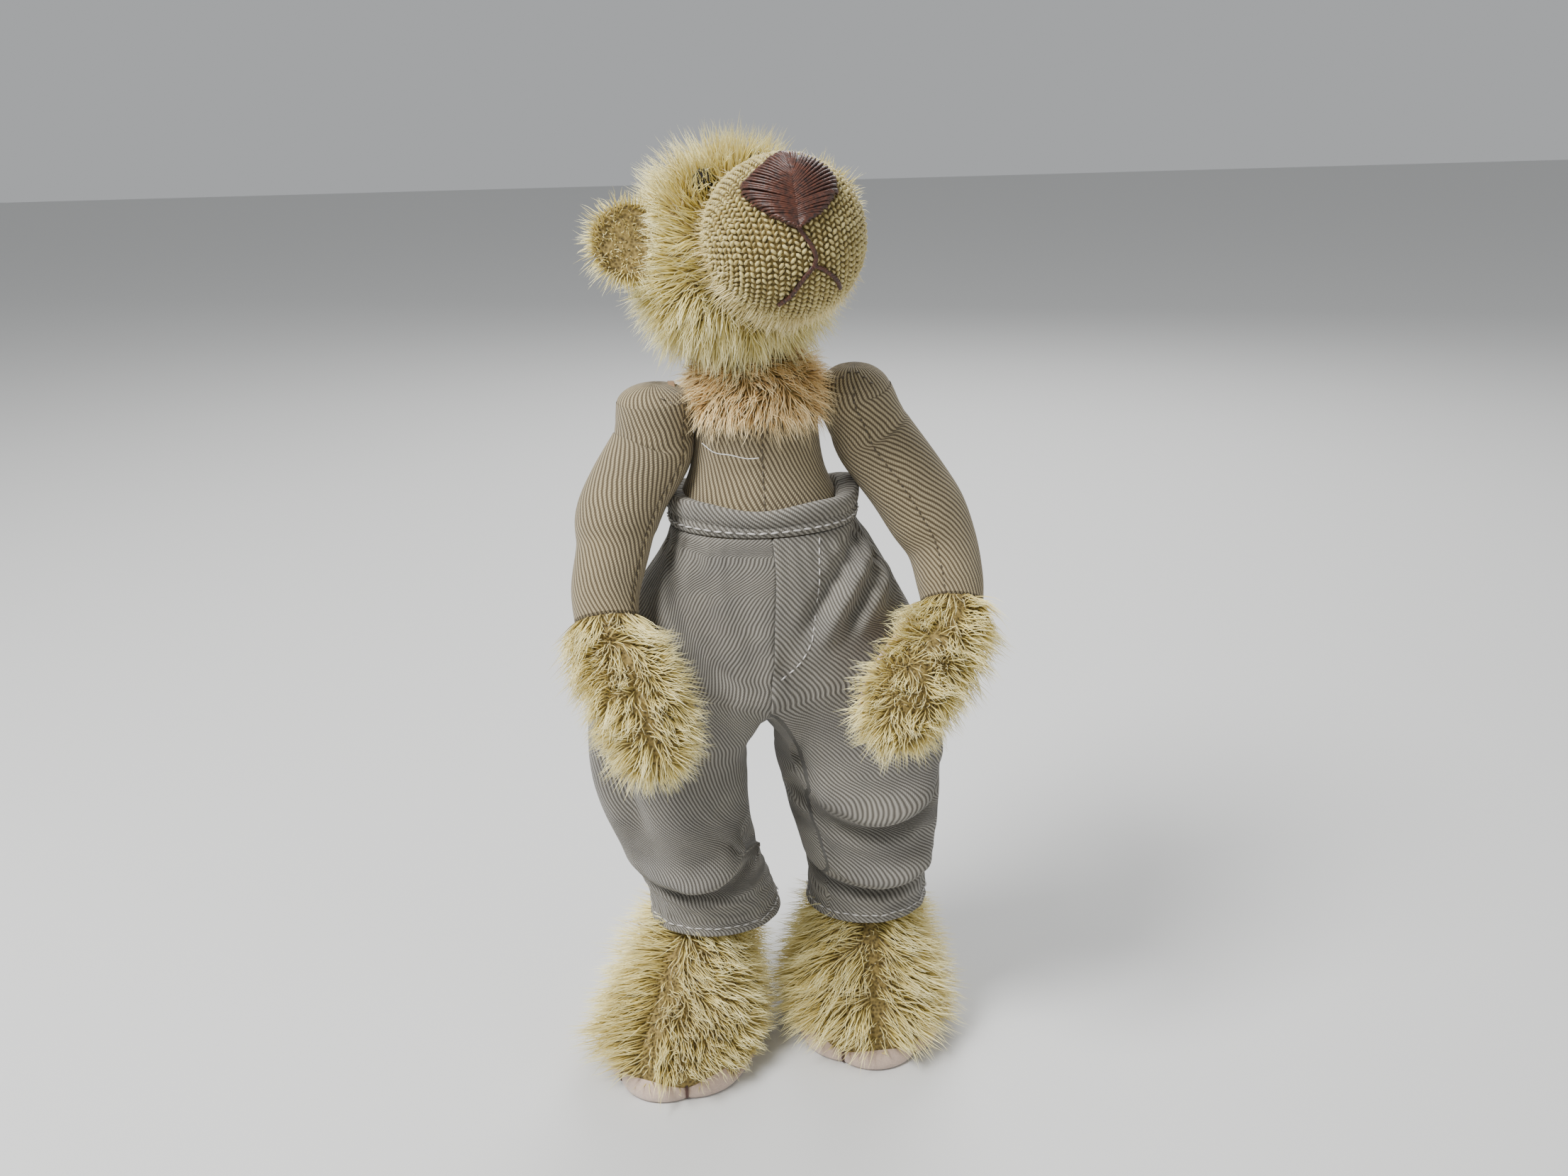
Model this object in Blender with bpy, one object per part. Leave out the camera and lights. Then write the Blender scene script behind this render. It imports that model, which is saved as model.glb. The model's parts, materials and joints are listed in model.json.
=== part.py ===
# A small jointed mohair bear in twill trousers: cloth skins over stuffing, turned on fibre discs and bolts.
# Sizes are in millimetres. The bear faces -Y, its own left is +X, and it stands on z = 0.
import math

import bmesh
import bpy
from mathutils import Matrix, Vector

MM = 0.001

# Cloth, clearances and joint hardware
WALL = 0.8  # mohair backing or twill, with its seam allowance
TROUSER_WALL = 1.2
FELT = 1.2
CARD = 1.0
GAP = 0.3  # between solids that touch
RUN = 0.6  # between a limb and the body it turns against
BOLT_RADIUS = 0.9
BOLT_HEAD_RADIUS = 1.9
BOLT_HEAD = 0.8
NUT_RADIUS = 2.1
NUT = 1.5
BOLT_STUB = 0.8  # past the nut
DISC = 1.2
NECK_DISC_RADIUS = 6.4
SHOULDER_DISC_RADIUS = 4.2
HIP_DISC_RADIUS = 5.4

# Body
BODY_BOTTOM = 84.5
BODY_HEIGHT = 68.0
BELLY_HALF = 15.2
BELLY_DEEP = 13.2
CHEST_HALF = 12.2
CHEST_DEEP = 9.8
YOKE_DROP = 11.5  # from the top of the body down to the mohair yoke's lower edge
SHOULDER_DROP = 9.0
HIP_RISE = 9.5

# Head
HEAD_RADIUS = 17.0
HEAD_RISE = 18.6  # from the top of the body up to the middle of the head
HEAD_LEAN = -3.6  # the neck leans to the bear's right
HEAD_TURN = 9.6  # degrees, face towards the bear's left
HEAD_TILT = 28.0  # degrees, chin up
HEAD_ROLL = 9.9  # degrees, left ear higher
MUZZLE_RADIUS = 14.3
MUZZLE_REACH = 19.2
MUZZLE_TURN = 24.0  # degrees, the way from the head's middle to the muzzle's
MUZZLE_RISE = 13.6
NOSE_SIDE = -3.4  # degrees to the bear's left of the face's middle
NOSE_ANGLE = 16.5  # degrees above it
NOSE_LEAN = 13.0  # degrees, the nose's top leans to the bear's left
NOSE_HALF = 9.0
NOSE_TALL = 16.4
NOSE_THICK = 1.1
MOUTH_RADIUS = 0.45
EAR_RADIUS = 7.4
EAR_THICK = 2.6
EAR_ANGLE = 17.0
EYE_RADIUS = 2.2
EYE_ROOM = 1.7  # between an eye and the muzzle's rim

# Arms and legs
ARM_RADIUS = 7.6
WRIST_RADIUS = 6.3
PAW_RADIUS = 7.3
LEG_RADIUS = 8.0
ANKLE_RADIUS = 7.4
ANKLE_HEIGHT = 33.0

# Feet
SOLE_HALF = 15.6
SOLE_LENGTH = 38.0
TOE_BULGE = 1.3
INSOLE_INSET = 3.0

# Trousers
WAIST_EASE = 3.4  # from the belly's side out to the band's outside
WAIST_EASE_DEEP = 1.8  # the same, front and back
WAIST_TOP = 127.0
WAIST_BAND = 7.6
SEAT_HALF = 38.0
SEAT_DEEP = 19.0
SEAT_RIM = 88.8
CROTCH = 81.0
GUSSET_HALF = 3.6
STRAP_RISE = 4.6  # the gusset's ends, up inside the seat's rim
HEM_HEIGHT = 30.5
LEG_TOP = 90.0  # a trouser leg's top goes up inside the seat, so that it can swing
TROUSER_BACK = 0.4  # the trousers sit a little back from the body's middle
WAIST_SIDE = 1.0  # and a little to the bear's left
WAIST_WALL = 1.8

# Each side's own set: the bear's arms and legs don't hang alike.
# Arm and paw points are offsets from the shoulder: outwards, back, up. Trouser rows run from the leg's top to
# its hem: share of the way down, outward shift from the line between hip and ankle, half width and half depth.
SIDES = {
    "right": {
        "sign": -1,
        "arm": [
            (1.0, 0, -9), (5.6, -2.6, -16), (8.2, -4.6, -21.6),
            (9.1, -7, -27), (10.9, -11, -33.6), (11, -14.4, -39),
        ],
        "paw": [
            (10.5, -16.6, -42.2), (8.9, -19.5, -45.4), (6.4, -24, -49.8), (4.1, -27, -56.6), (3, -28, -62),
        ],
        "leg_bow": (0.2, -3.4),
        "ankle": (14.8, 2.0),
        "sole": (19.4, -7.0),
        "toe_out": 30.0,
        "trouser": [
            (0, 0.35, 10.4, 10.1), (0.03, 0.63, 10.8, 10.1), (0.1, 1.44, 13.2, 10.8),
            (0.17, 2.36, 16.1, 12.2), (0.34, 2.17, 17.5, 14.8), (0.54, 1.96, 16.8, 15.2),
            (0.74, -0.75, 15.2, 14.2), (0.87, -2.97, 14.2, 13.4), (1, -3.20, 14.4, 12.6),
        ],
    },
    "left": {
        "sign": 1,
        "arm": [
            (4.2, 0, -9.4), (9.6, -2.4, -17.4), (13.4, -4.4, -24),
            (15.8, -7, -29.8), (16.6, -11, -36), (16.4, -14, -40),
        ],
        "paw": [
            (15.4, -16.4, -43), (13.2, -19.2, -46.2), (7.8, -24, -50.2), (3.6, -27, -55.4), (1.2, -28, -60),
        ],
        "leg_bow": (0.6, 0.8),
        "ankle": (21.9, 2.0),
        "sole": (21.4, -2.0),
        "toe_out": 0.0,
        "trouser": [
            (0, 0.55, 10.2, 10.1), (0.03, 0.81, 10.6, 10.1), (0.1, 1.13, 13.4, 10.8),
            (0.17, 0.95, 16.9, 12.2), (0.34, -0.24, 18.9, 14.8), (0.54, -0.17, 17.5, 15.2),
            (0.74, 0.20, 15, 14.2), (0.87, 0.25, 13.4, 13.4), (1, 0.10, 13.4, 12.6),
        ],
    },
}

# Share of the body's height, with half width and half depth there
BODY_SHAPE = [
    (0.000, 0.30 * BELLY_HALF, 0.34 * BELLY_DEEP),
    (0.022, 0.48 * BELLY_HALF, 0.55 * BELLY_DEEP),
    (0.080, 0.68 * BELLY_HALF, 0.80 * BELLY_DEEP),
    (0.140, 0.80 * BELLY_HALF, 0.91 * BELLY_DEEP),
    (0.230, 0.92 * BELLY_HALF, 0.98 * BELLY_DEEP),
    (0.330, BELLY_HALF, BELLY_DEEP),
    (0.450, BELLY_HALF, 0.96 * BELLY_DEEP),
    (0.580, 0.96 * BELLY_HALF, 0.86 * BELLY_DEEP),
    (0.680, 1.07 * CHEST_HALF, 1.05 * CHEST_DEEP),
    (0.790, CHEST_HALF, CHEST_DEEP),
    (0.875, 0.99 * CHEST_HALF, 0.97 * CHEST_DEEP),
    (0.935, 0.91 * CHEST_HALF, 0.91 * CHEST_DEEP),
    (0.978, 0.73 * CHEST_HALF, 0.76 * CHEST_DEEP),
    (1.000, 0.50 * CHEST_HALF, 0.53 * CHEST_DEEP),
]

BODY_TOP = BODY_BOTTOM + BODY_HEIGHT
WAIST_HALF = BELLY_HALF + WAIST_EASE
WAIST_DEEP = BELLY_DEEP + WAIST_EASE_DEEP
SHOULDER_Z = BODY_TOP - SHOULDER_DROP
HIP_Z = BODY_BOTTOM + HIP_RISE
YOKE_Z = BODY_TOP - YOKE_DROP
HEAD_CENTRE = Vector((HEAD_LEAN, 0, BODY_TOP + HEAD_RISE))
NECK_FOOT = Vector((0, 0.4, BODY_TOP - 1.0))


def start_scene():
    for obj in list(bpy.data.objects):
        bpy.data.objects.remove(obj)
    made = {}
    for name in ("jointed_bear", "cutters"):
        made[name] = bpy.data.collections.new(name)
        bpy.context.scene.collection.children.link(made[name])
    return made


def material(name, colour, roughness, metallic=0.0):
    made = bpy.data.materials.new(name)
    made.use_nodes = True
    shader = made.node_tree.nodes["Principled BSDF"]
    shader.inputs["Base Color"].default_value = (*colour, 1)
    shader.inputs["Roughness"].default_value = roughness
    shader.inputs["Metallic"].default_value = metallic
    return made


def finished(name, bm, turn=None):
    """A closed mesh in millimetres as an object in metres."""
    bmesh.ops.recalc_face_normals(bm, faces=bm.faces)
    if turn is not None:
        bm.transform(turn)
    bm.transform(Matrix.Scale(MM, 4))
    mesh = bpy.data.meshes.new(name)
    bm.to_mesh(mesh)
    bm.free()
    mesh.shade_smooth()
    mesh.set_sharp_from_angle(angle=math.radians(40))
    obj = bpy.data.objects.new(name, mesh)
    COLLECTIONS["jointed_bear"].objects.link(obj)
    return obj


def ball(name, centre, radii, turn=None, segments=20, rings=12):
    bm = bmesh.new()
    bmesh.ops.create_uvsphere(bm, u_segments=segments, v_segments=rings, radius=1)
    place = Matrix.Translation(centre) @ (turn or Matrix.Identity(4)) @ Matrix.Diagonal((*radii, 1))
    return finished(name, bm, place)


def cylinder(name, start, end, radius, sides=24):
    """A round bar between two points."""
    way = Vector(end) - Vector(start)
    bm = bmesh.new()
    bmesh.ops.create_cone(bm, cap_ends=True, segments=sides, radius1=radius, radius2=radius, depth=way.length)
    place = Matrix.Translation((Vector(start) + Vector(end)) / 2)
    return finished(name, bm, place @ way.to_track_quat("Z", "Y").to_matrix().to_4x4())


def box(name, low, high):
    bm = bmesh.new()
    bmesh.ops.create_cube(bm, size=1)
    size = [b - a for a, b in zip(low, high)]
    middle = [(a + b) / 2 for a, b in zip(low, high)]
    return finished(name, bm, Matrix.Translation(middle) @ Matrix.Diagonal((*size, 1)))


def beyond(name, place, way):
    """All that lies past a plane: a block whose near face is on the plane."""
    size = 2 * BODY_HEIGHT
    bm = bmesh.new()
    bmesh.ops.create_cube(bm, size=size)
    frame = Matrix.Translation(Vector(place) + way.normalized() * size / 2)
    return finished(name, bm, frame @ way.to_track_quat("Z", "Y").to_matrix().to_4x4())


def solid_from(curve_object):
    """The curve's evaluated tube or plate as a welded mesh object of the same name."""
    bpy.context.view_layer.update()
    graph = bpy.context.evaluated_depsgraph_get()
    mesh = bpy.data.meshes.new_from_object(curve_object.evaluated_get(graph))
    name, place = curve_object.name, curve_object.matrix_world.copy()
    bpy.data.objects.remove(curve_object)
    bm = bmesh.new()
    bm.from_mesh(mesh)
    bmesh.ops.remove_doubles(bm, verts=bm.verts, dist=0.001)
    return finished(name, bm, place)


def tube(name, points, radii, resolution=5):
    """A round tube whose radius changes from point to point."""
    data = bpy.data.curves.new(name, "CURVE")
    data.dimensions = "3D"
    data.bevel_depth = 1
    data.bevel_resolution = resolution
    data.use_fill_caps = True
    spline = data.splines.new("POLY")
    spline.points.add(len(points) - 1)
    for point, place, radius in zip(spline.points, points, radii):
        point.co = (*place, 1)
        point.radius = radius
    obj = bpy.data.objects.new(name, data)
    COLLECTIONS["jointed_bear"].objects.link(obj)
    return solid_from(obj)


def plate(name, outline, thickness, place):
    """A flat outline, extruded evenly to both sides of its plane."""
    data = bpy.data.curves.new(name, "CURVE")
    data.dimensions = "2D"
    data.fill_mode = "BOTH"
    data.extrude = thickness / 2
    spline = data.splines.new("POLY")
    spline.points.add(len(outline) - 1)
    spline.use_cyclic_u = True
    for point, (x, y) in zip(spline.points, outline):
        point.co = (x, y, 0, 1)
    obj = bpy.data.objects.new(name, data)
    obj.matrix_world = place
    COLLECTIONS["jointed_bear"].objects.link(obj)
    return solid_from(obj)


def loft(name, sections, sides=24):
    """Elliptical sections, each (x, y, z, half width, half depth, turn in degrees), joined bottom to top."""
    bm = bmesh.new()
    rings = []
    for x, y, z, wide, deep, turn in sections:
        spin = math.radians(turn)
        ring = []
        for i in range(sides):
            angle = math.tau * i / sides
            u, v = wide * math.cos(angle), deep * math.sin(angle)
            place_x = x + u * math.cos(spin) - v * math.sin(spin)
            place_y = y + u * math.sin(spin) + v * math.cos(spin)
            ring.append(bm.verts.new((place_x, place_y, z)))
        rings.append(ring)
    for below, above in zip(rings, rings[1:]):
        for i in range(sides):
            j = (i + 1) % sides
            bm.faces.new((below[i], below[j], above[j], above[i]))
    bm.faces.new(rings[0][::-1])
    bm.faces.new(rings[-1])
    return finished(name, bm)


def combine(obj, operation, others):
    for other in others:
        if other.name not in COLLECTIONS["cutters"].objects:
            COLLECTIONS["jointed_bear"].objects.unlink(other)
            COLLECTIONS["cutters"].objects.link(other)
        other.hide_render = True
        other.display_type = "WIRE"
        modifier = obj.modifiers.new(f"{operation.lower()}_{other.name}", "BOOLEAN")
        modifier.operation = operation
        modifier.object = other
    return obj


def cut(obj, *others):
    return combine(obj, "DIFFERENCE", others)


def join(obj, *others):
    return combine(obj, "UNION", others)


def keep(obj, other):
    return combine(obj, "INTERSECT", [other])


def dress(obj, finish, pivot):
    """Gives a piece its material and hangs it on its body's pivot, without moving it."""
    obj.data.materials.clear()
    obj.data.materials.append(MATERIALS[finish])
    obj.parent = pivot
    obj.location = -pivot.location
    return obj


def pivot_empty(name, place):
    empty = bpy.data.objects.new(name, None)
    empty.empty_display_size = 0.01
    empty.location = Vector(place) * MM
    COLLECTIONS["jointed_bear"].objects.link(empty)
    return empty


def between(table, at, column):
    """Reads a column of rising rows at a value of their first column."""
    for low, high in zip(table, table[1:]):
        if at <= high[0]:
            share = max(0.0, (at - low[0]) / (high[0] - low[0]))
            return low[column] + share * (high[column] - low[column])
    return table[-1][column]


def body_half(z):
    return between(BODY_SHAPE, (z - BODY_BOTTOM) / BODY_HEIGHT, 1)


def body_deep(z):
    return between(BODY_SHAPE, (z - BODY_BOTTOM) / BODY_HEIGHT, 2)


def body_loft(name, inset):
    last = len(BODY_SHAPE) - 1
    sections = []
    for i, (share, wide, deep) in enumerate(BODY_SHAPE):
        z = BODY_BOTTOM + share * BODY_HEIGHT
        z += inset if i == 0 else 0
        z -= inset if i == last else 0
        if i in (1, last - 1):
            z += (0.5 if i == 1 else -0.5) * inset
        sections.append((0, 0, z, wide - inset, deep - inset, 0))
    return loft(name, sections)


def ring(name, start, end, radius, hole, sides=24):
    """A washer-like piece between two points of its axis."""
    way = (Vector(end) - Vector(start)).normalized()
    drill = cylinder(name + "_hole", Vector(start) - way, Vector(end) + way, hole, 16)
    return cut(cylinder(name, start, end, radius, sides), drill)


def joint_hardware(name, way, origin, body_disc, limb_disc, disc_radius, bodies):
    """Discs, bolt and nut of one joint, along a way from the limb's middle into the body.

    limb_disc and body_disc are where the two discs' facing sides lie along that way.
    """
    body, limb = bodies
    hole = BOLT_RADIUS + GAP
    limb_far = limb_disc - DISC
    head_far = limb_far - GAP - BOLT_HEAD
    body_far = body_disc + DISC
    nut_near = body_far + GAP
    nut_far = nut_near + NUT
    bolt_end = nut_far + BOLT_STUB

    def at(distance):
        return origin + way * distance

    dress(ring(f"{name}_body_disc", at(body_disc), at(body_far), disc_radius, hole), "board", body)
    dress(ring(f"{name}_limb_disc", at(limb_far), at(limb_disc), disc_radius, hole), "board", limb)
    dress(ring(f"{name}_lock_nut", at(nut_near), at(nut_far), NUT_RADIUS, hole, 6), "steel", limb)
    bolt = cylinder(f"{name}_bolt", at(head_far), at(bolt_end), BOLT_RADIUS, 16)
    bolt_head = cylinder(f"{name}_bolt_head", at(head_far), at(head_far + BOLT_HEAD), BOLT_HEAD_RADIUS, 16)
    dress(join(bolt, bolt_head), "steel", limb)
    return {
        "hole": cylinder(f"{name}_bolt_hole", at(limb_far), at(body_far), hole + 0.05, 16),
        "limb_room": cylinder(f"{name}_limb_room", at(head_far - GAP), at(limb_disc + 4), disc_radius + GAP),
        "body_room": cylinder(f"{name}_body_room", at(body_disc - 4), at(bolt_end + GAP), disc_radius + GAP),
    }


def disc_seat_in_body(z, radius):
    """How far from the middle a disc's outer face lies flat inside the body's curved wall."""
    places = []
    for height in (z - radius, z, z + radius):
        places.append(body_half(height) - WALL)
    side = body_half(z) - WALL
    deep = body_deep(z) - WALL
    places.append(side * math.sqrt(1 - (radius / deep) ** 2))
    return min(places) - GAP


def side_joint(name, sign, pivot, limb, bodies):
    """A joint across the body's side, on a line along X through the limb's pivot.

    limb holds its radius, its disc's radius and how far it goes outwards for each millimetre down.
    """
    limb_radius, disc_radius, slope = limb
    seat = disc_seat_in_body(pivot.z, disc_radius)
    limb_reach = math.sqrt((limb_radius - WALL) ** 2 - (disc_radius + GAP) ** 2) - GAP
    limb_reach -= slope * disc_radius / 2
    way = Vector((-sign, 0, 0))
    return joint_hardware(name, way, pivot, abs(pivot.x) - seat, limb_reach, disc_radius, bodies)


def head_axes():
    """The head's own axes, as the columns left, back and up."""
    turn = Matrix.Rotation(math.radians(HEAD_TURN), 4, "Z")
    tilt = Matrix.Rotation(math.radians(-HEAD_TILT), 4, "X")
    roll = Matrix.Rotation(math.radians(-HEAD_ROLL), 4, "Y")
    return turn @ tilt @ roll


def face_way(side, rise):
    """A direction out of the muzzle, in degrees to the bear's left and up from the face's middle."""
    a, e = math.radians(side), math.radians(rise)
    return HEAD_AXES @ Vector((math.sin(a) * math.cos(e), -math.cos(a) * math.cos(e), math.sin(e)))


def muzzle_centre():
    a, e = math.radians(MUZZLE_TURN), math.radians(MUZZLE_RISE)
    way = Vector((math.sin(a) * math.cos(e), -math.cos(a) * math.cos(e), math.sin(e)))
    return HEAD_CENTRE + way * MUZZLE_REACH


def facing(way, up, place):
    """A frame at place whose Z runs along way and whose Y leans towards up."""
    z = way.normalized()
    x = up.cross(z).normalized()
    frame = Matrix((x, z.cross(x), z)).transposed().to_4x4()
    frame.translation = place
    return frame


def make_torso(pivots, neck, shoulders, hips):
    holes = [joint["hole"] for joint in (neck, *shoulders, *hips)]
    rooms = [joint["body_room"] for joint in (neck, *shoulders, *hips)]
    hollow = body_loft("body_hollow", WALL)
    wide = 3 * BELLY_HALF
    above = box("above_yoke_edge", (-wide, -wide, YOKE_Z - GAP / 2), (wide, wide, BODY_TOP + 5))
    below = box("below_yoke_edge", (-wide, -wide, BODY_BOTTOM - 5), (wide, wide, YOKE_Z + GAP / 2))
    dress(cut(body_loft("torso_cover", 0), hollow, above, *holes), "tan_twill", pivots["torso"])
    dress(cut(body_loft("chest_yoke", 0), hollow, below, *holes), "cream_mohair", pivots["torso"])
    dress(cut(body_loft("torso_stuffing", WALL + GAP), *rooms), "fibre", pivots["torso"])


def make_head(pivot, neck):
    around = ball("around_head", HEAD_CENTRE, [HEAD_RADIUS + GAP] * 3)
    hollow = ball("head_hollow", HEAD_CENTRE, [HEAD_RADIUS - WALL] * 3)
    skin = ball("head_cover", HEAD_CENTRE, [HEAD_RADIUS] * 3)
    dress(cut(skin, hollow, neck["hole"]), "mohair", pivot)
    filling = ball("head_stuffing", HEAD_CENTRE, [HEAD_RADIUS - WALL - GAP] * 3)
    dress(cut(filling, neck["limb_room"]), "fibre", pivot)

    middle = muzzle_centre()
    hollow = ball("muzzle_hollow", middle, [MUZZLE_RADIUS - WALL] * 3)
    dress(cut(ball("muzzle_cover", middle, [MUZZLE_RADIUS] * 3), hollow, around), "clipped_mohair", pivot)
    filling = ball("muzzle_stuffing", middle, [MUZZLE_RADIUS - WALL - GAP] * 3)
    dress(cut(filling, around), "fibre", pivot)
    make_nose(pivot, middle)
    make_mouth(pivot, middle)
    for side, sign in (("right", -1), ("left", 1)):
        make_ear(side, sign, pivot, around)
        make_eye(side, sign, pivot, around)


def make_nose(pivot, middle):
    """A padded shield of satin stitches, domed with the muzzle."""
    shield = []
    half = NOSE_TALL / 2
    for x, y in ((0, -1), (0.42, -0.72), (0.78, -0.28), (1, 0.16), (0.86, 0.62), (0.5, 0.92), (0, 1)):
        shield.append((x * NOSE_HALF, y * half))
    shield += [(-x, y) for x, y in shield[-2:0:-1]]
    way = face_way(NOSE_SIDE, NOSE_ANGLE)
    lean = math.radians(NOSE_LEAN)
    up = HEAD_AXES.to_3x3() @ Vector((math.sin(lean), 0, math.cos(lean)))
    place = facing(way, up, middle + way * MUZZLE_RADIUS)
    outline = plate("nose_outline", shield, 2 * MUZZLE_RADIUS * 0.7, place)
    outer = ball("nose_stitching", middle, [MUZZLE_RADIUS + GAP + NOSE_THICK] * 3, segments=28, rings=16)
    under = ball("under_nose", middle, [MUZZLE_RADIUS + GAP] * 3)
    dress(cut(keep(outer, outline), under), "brown_thread", pivot)


def mouth_path(middle, angles):
    reach = MUZZLE_RADIUS + GAP + MOUTH_RADIUS
    return [middle + face_way(side, rise) * reach for side, rise in angles]


def make_mouth(pivot, middle):
    """One upright stitch below the nose, and a curved one to each side of its foot."""
    lip = [(-58, -59), (-35, -56.5), (-15, -48), (-3.5, -41), (7, -45.5), (25, -54), (40, -60)]
    mouth = tube("mouth_stitching", mouth_path(middle, lip), [MOUTH_RADIUS] * len(lip), 2)
    upright = [(-3.5, -41.5), (-1.2, -35), (-4, -27), (-9, -18.5)]
    stitch = tube("upright_stitch", mouth_path(middle, upright), [MOUTH_RADIUS] * len(upright), 2)
    dress(join(mouth, stitch), "brown_thread", pivot)


def make_ear(side, sign, pivot, around):
    angle = math.radians(EAR_ANGLE)
    out = Vector((sign * math.cos(angle), 0, math.sin(angle)))
    reach = HEAD_RADIUS + 0.32 * EAR_RADIUS
    centre = HEAD_CENTRE + HEAD_AXES.to_3x3() @ (out * reach)
    turn = HEAD_AXES.to_3x3().to_4x4()
    ear = ball(f"ear_{side}", centre, (EAR_RADIUS, EAR_THICK, EAR_RADIUS), turn)
    forward = HEAD_AXES.to_3x3() @ Vector((0, -1, 0))
    hollow = (0.8 * EAR_RADIUS, 2 * EAR_THICK, 0.8 * EAR_RADIUS)
    cup = ball(f"ear_cup_{side}", centre + forward * 2.3 * EAR_THICK, hollow, turn)
    dress(cut(ear, cup, around), "mohair", pivot)


def make_eye(side, sign, pivot, around):
    muzzle_way = muzzle_centre() - HEAD_CENTRE
    reach = muzzle_way.length
    rim = math.acos((HEAD_RADIUS**2 + reach**2 - MUZZLE_RADIUS**2) / (2 * HEAD_RADIUS * reach))
    aim = HEAD_AXES.to_3x3() @ Vector((sign * 0.36, -0.66, 0.66))
    apart = rim + math.asin((EYE_RADIUS + EYE_ROOM) / HEAD_RADIUS)
    way = Matrix.Rotation(apart, 3, muzzle_way.cross(aim)) @ muzzle_way.normalized()
    centre = HEAD_CENTRE + way * (HEAD_RADIUS + 0.3 * EYE_RADIUS)
    eye = ball(f"eye_{side}", centre, [EYE_RADIUS] * 3, segments=14, rings=8)
    dress(cut(eye, around), "black_glass", pivot)


def rounded_top(pivot, radius):
    """Points and radii of a limb's domed upper end, down to its pivot."""
    points, radii = [], []
    for angle in (80, 55, 28, 0):
        a = math.radians(angle)
        points.append(pivot + Vector((0, 0, radius * math.sin(a))))
        radii.append(radius * math.cos(a))
    return points, radii


def make_arm(side, values, pivot, joint, place):
    sign = values["sign"]
    points, radii = rounded_top(place, ARM_RADIUS)
    arm = [place + Vector((sign * x, y, z)) for x, y, z in values["arm"]]
    paw = [place + Vector((sign * x, y, z)) for x, y, z in values["paw"]]
    slim = len(arm) - 1
    narrower = WRIST_RADIUS - ARM_RADIUS
    arm_radii = [ARM_RADIUS + narrower * max(0, 2 * i / slim - 1) for i in range(len(arm))]
    paw_radii = [WRIST_RADIUS + 0.2, PAW_RADIUS - 0.3, PAW_RADIUS, PAW_RADIUS - 0.2, 0.72 * PAW_RADIUS]
    tip = paw[-1] + (paw[-1] - paw[-2]).normalized() * 0.42 * PAW_RADIUS
    points += arm
    radii += arm_radii

    whole = points + paw + [tip]
    whole_radii = radii + paw_radii + [0.25 * PAW_RADIUS]
    wrist = arm[-1]
    way = paw[0] - arm[-2]
    below = beyond(f"below_wrist_{side}", wrist, way)
    above = beyond(f"above_wrist_{side}", wrist + way.normalized() * GAP, -way)
    paw_points = whole[len(points) - 1:]
    paw_skin = whole_radii[len(points) - 1:]

    def shrunk(name, inset):
        inner = [max(0.3, r - inset) for r in whole_radii]
        ends = list(whole)
        ends[0] = whole[0] - Vector((0, 0, inset))
        ends[-1] = whole[-1] - (whole[-1] - whole[-2]).normalized() * inset
        return tube(name, ends, inner)

    hollow = shrunk(f"arm_hollow_{side}", WALL)
    dress(cut(tube(f"arm_cover_{side}", whole, whole_radii), below, hollow, joint["hole"]), "tan_twill", pivot)
    dress(cut(tube(f"paw_cover_{side}", whole, whole_radii), above, hollow), "cream_mohair", pivot)
    dress(cut(shrunk(f"arm_stuffing_{side}", WALL + GAP), joint["limb_room"]), "fibre", pivot)

    palm = (paw[2] + paw[3]) / 2
    along = (paw[4] - paw[2]).normalized()
    back = Vector((-sign * 0.35, 1, 0))
    frame = facing(back - along * back.dot(along), along, palm + back.normalized() * PAW_RADIUS)
    pad = tube(f"paw_pad_{side}", paw_points, [r + GAP + FELT for r in paw_skin])
    oval = ball(f"palm_oval_{side}", frame.translation, (5.2, 8.6, 4.6), frame.to_3x3().to_4x4())
    under = tube(f"under_pad_{side}", paw_points, [r + GAP for r in paw_skin])
    dress(cut(keep(pad, oval), under), "felt", pivot)


def sole_outline(inset):
    """An egg of a sole with three toes along its front edge."""
    points = []
    count = 48
    for i in range(count):
        angle = math.tau * i / count
        front = max(0.0, -math.sin(angle))
        toes = TOE_BULGE * abs(math.cos(3 * (angle - math.pi / 2))) ** 0.7 * min(1.0, 2 * front)
        wide = (SOLE_HALF - inset) * (1 - 0.10 * max(0.0, math.sin(angle)))
        long = SOLE_LENGTH / 2 - inset
        points.append(((wide + toes) * math.cos(angle), (long + toes) * math.sin(angle)))
    return points


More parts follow.
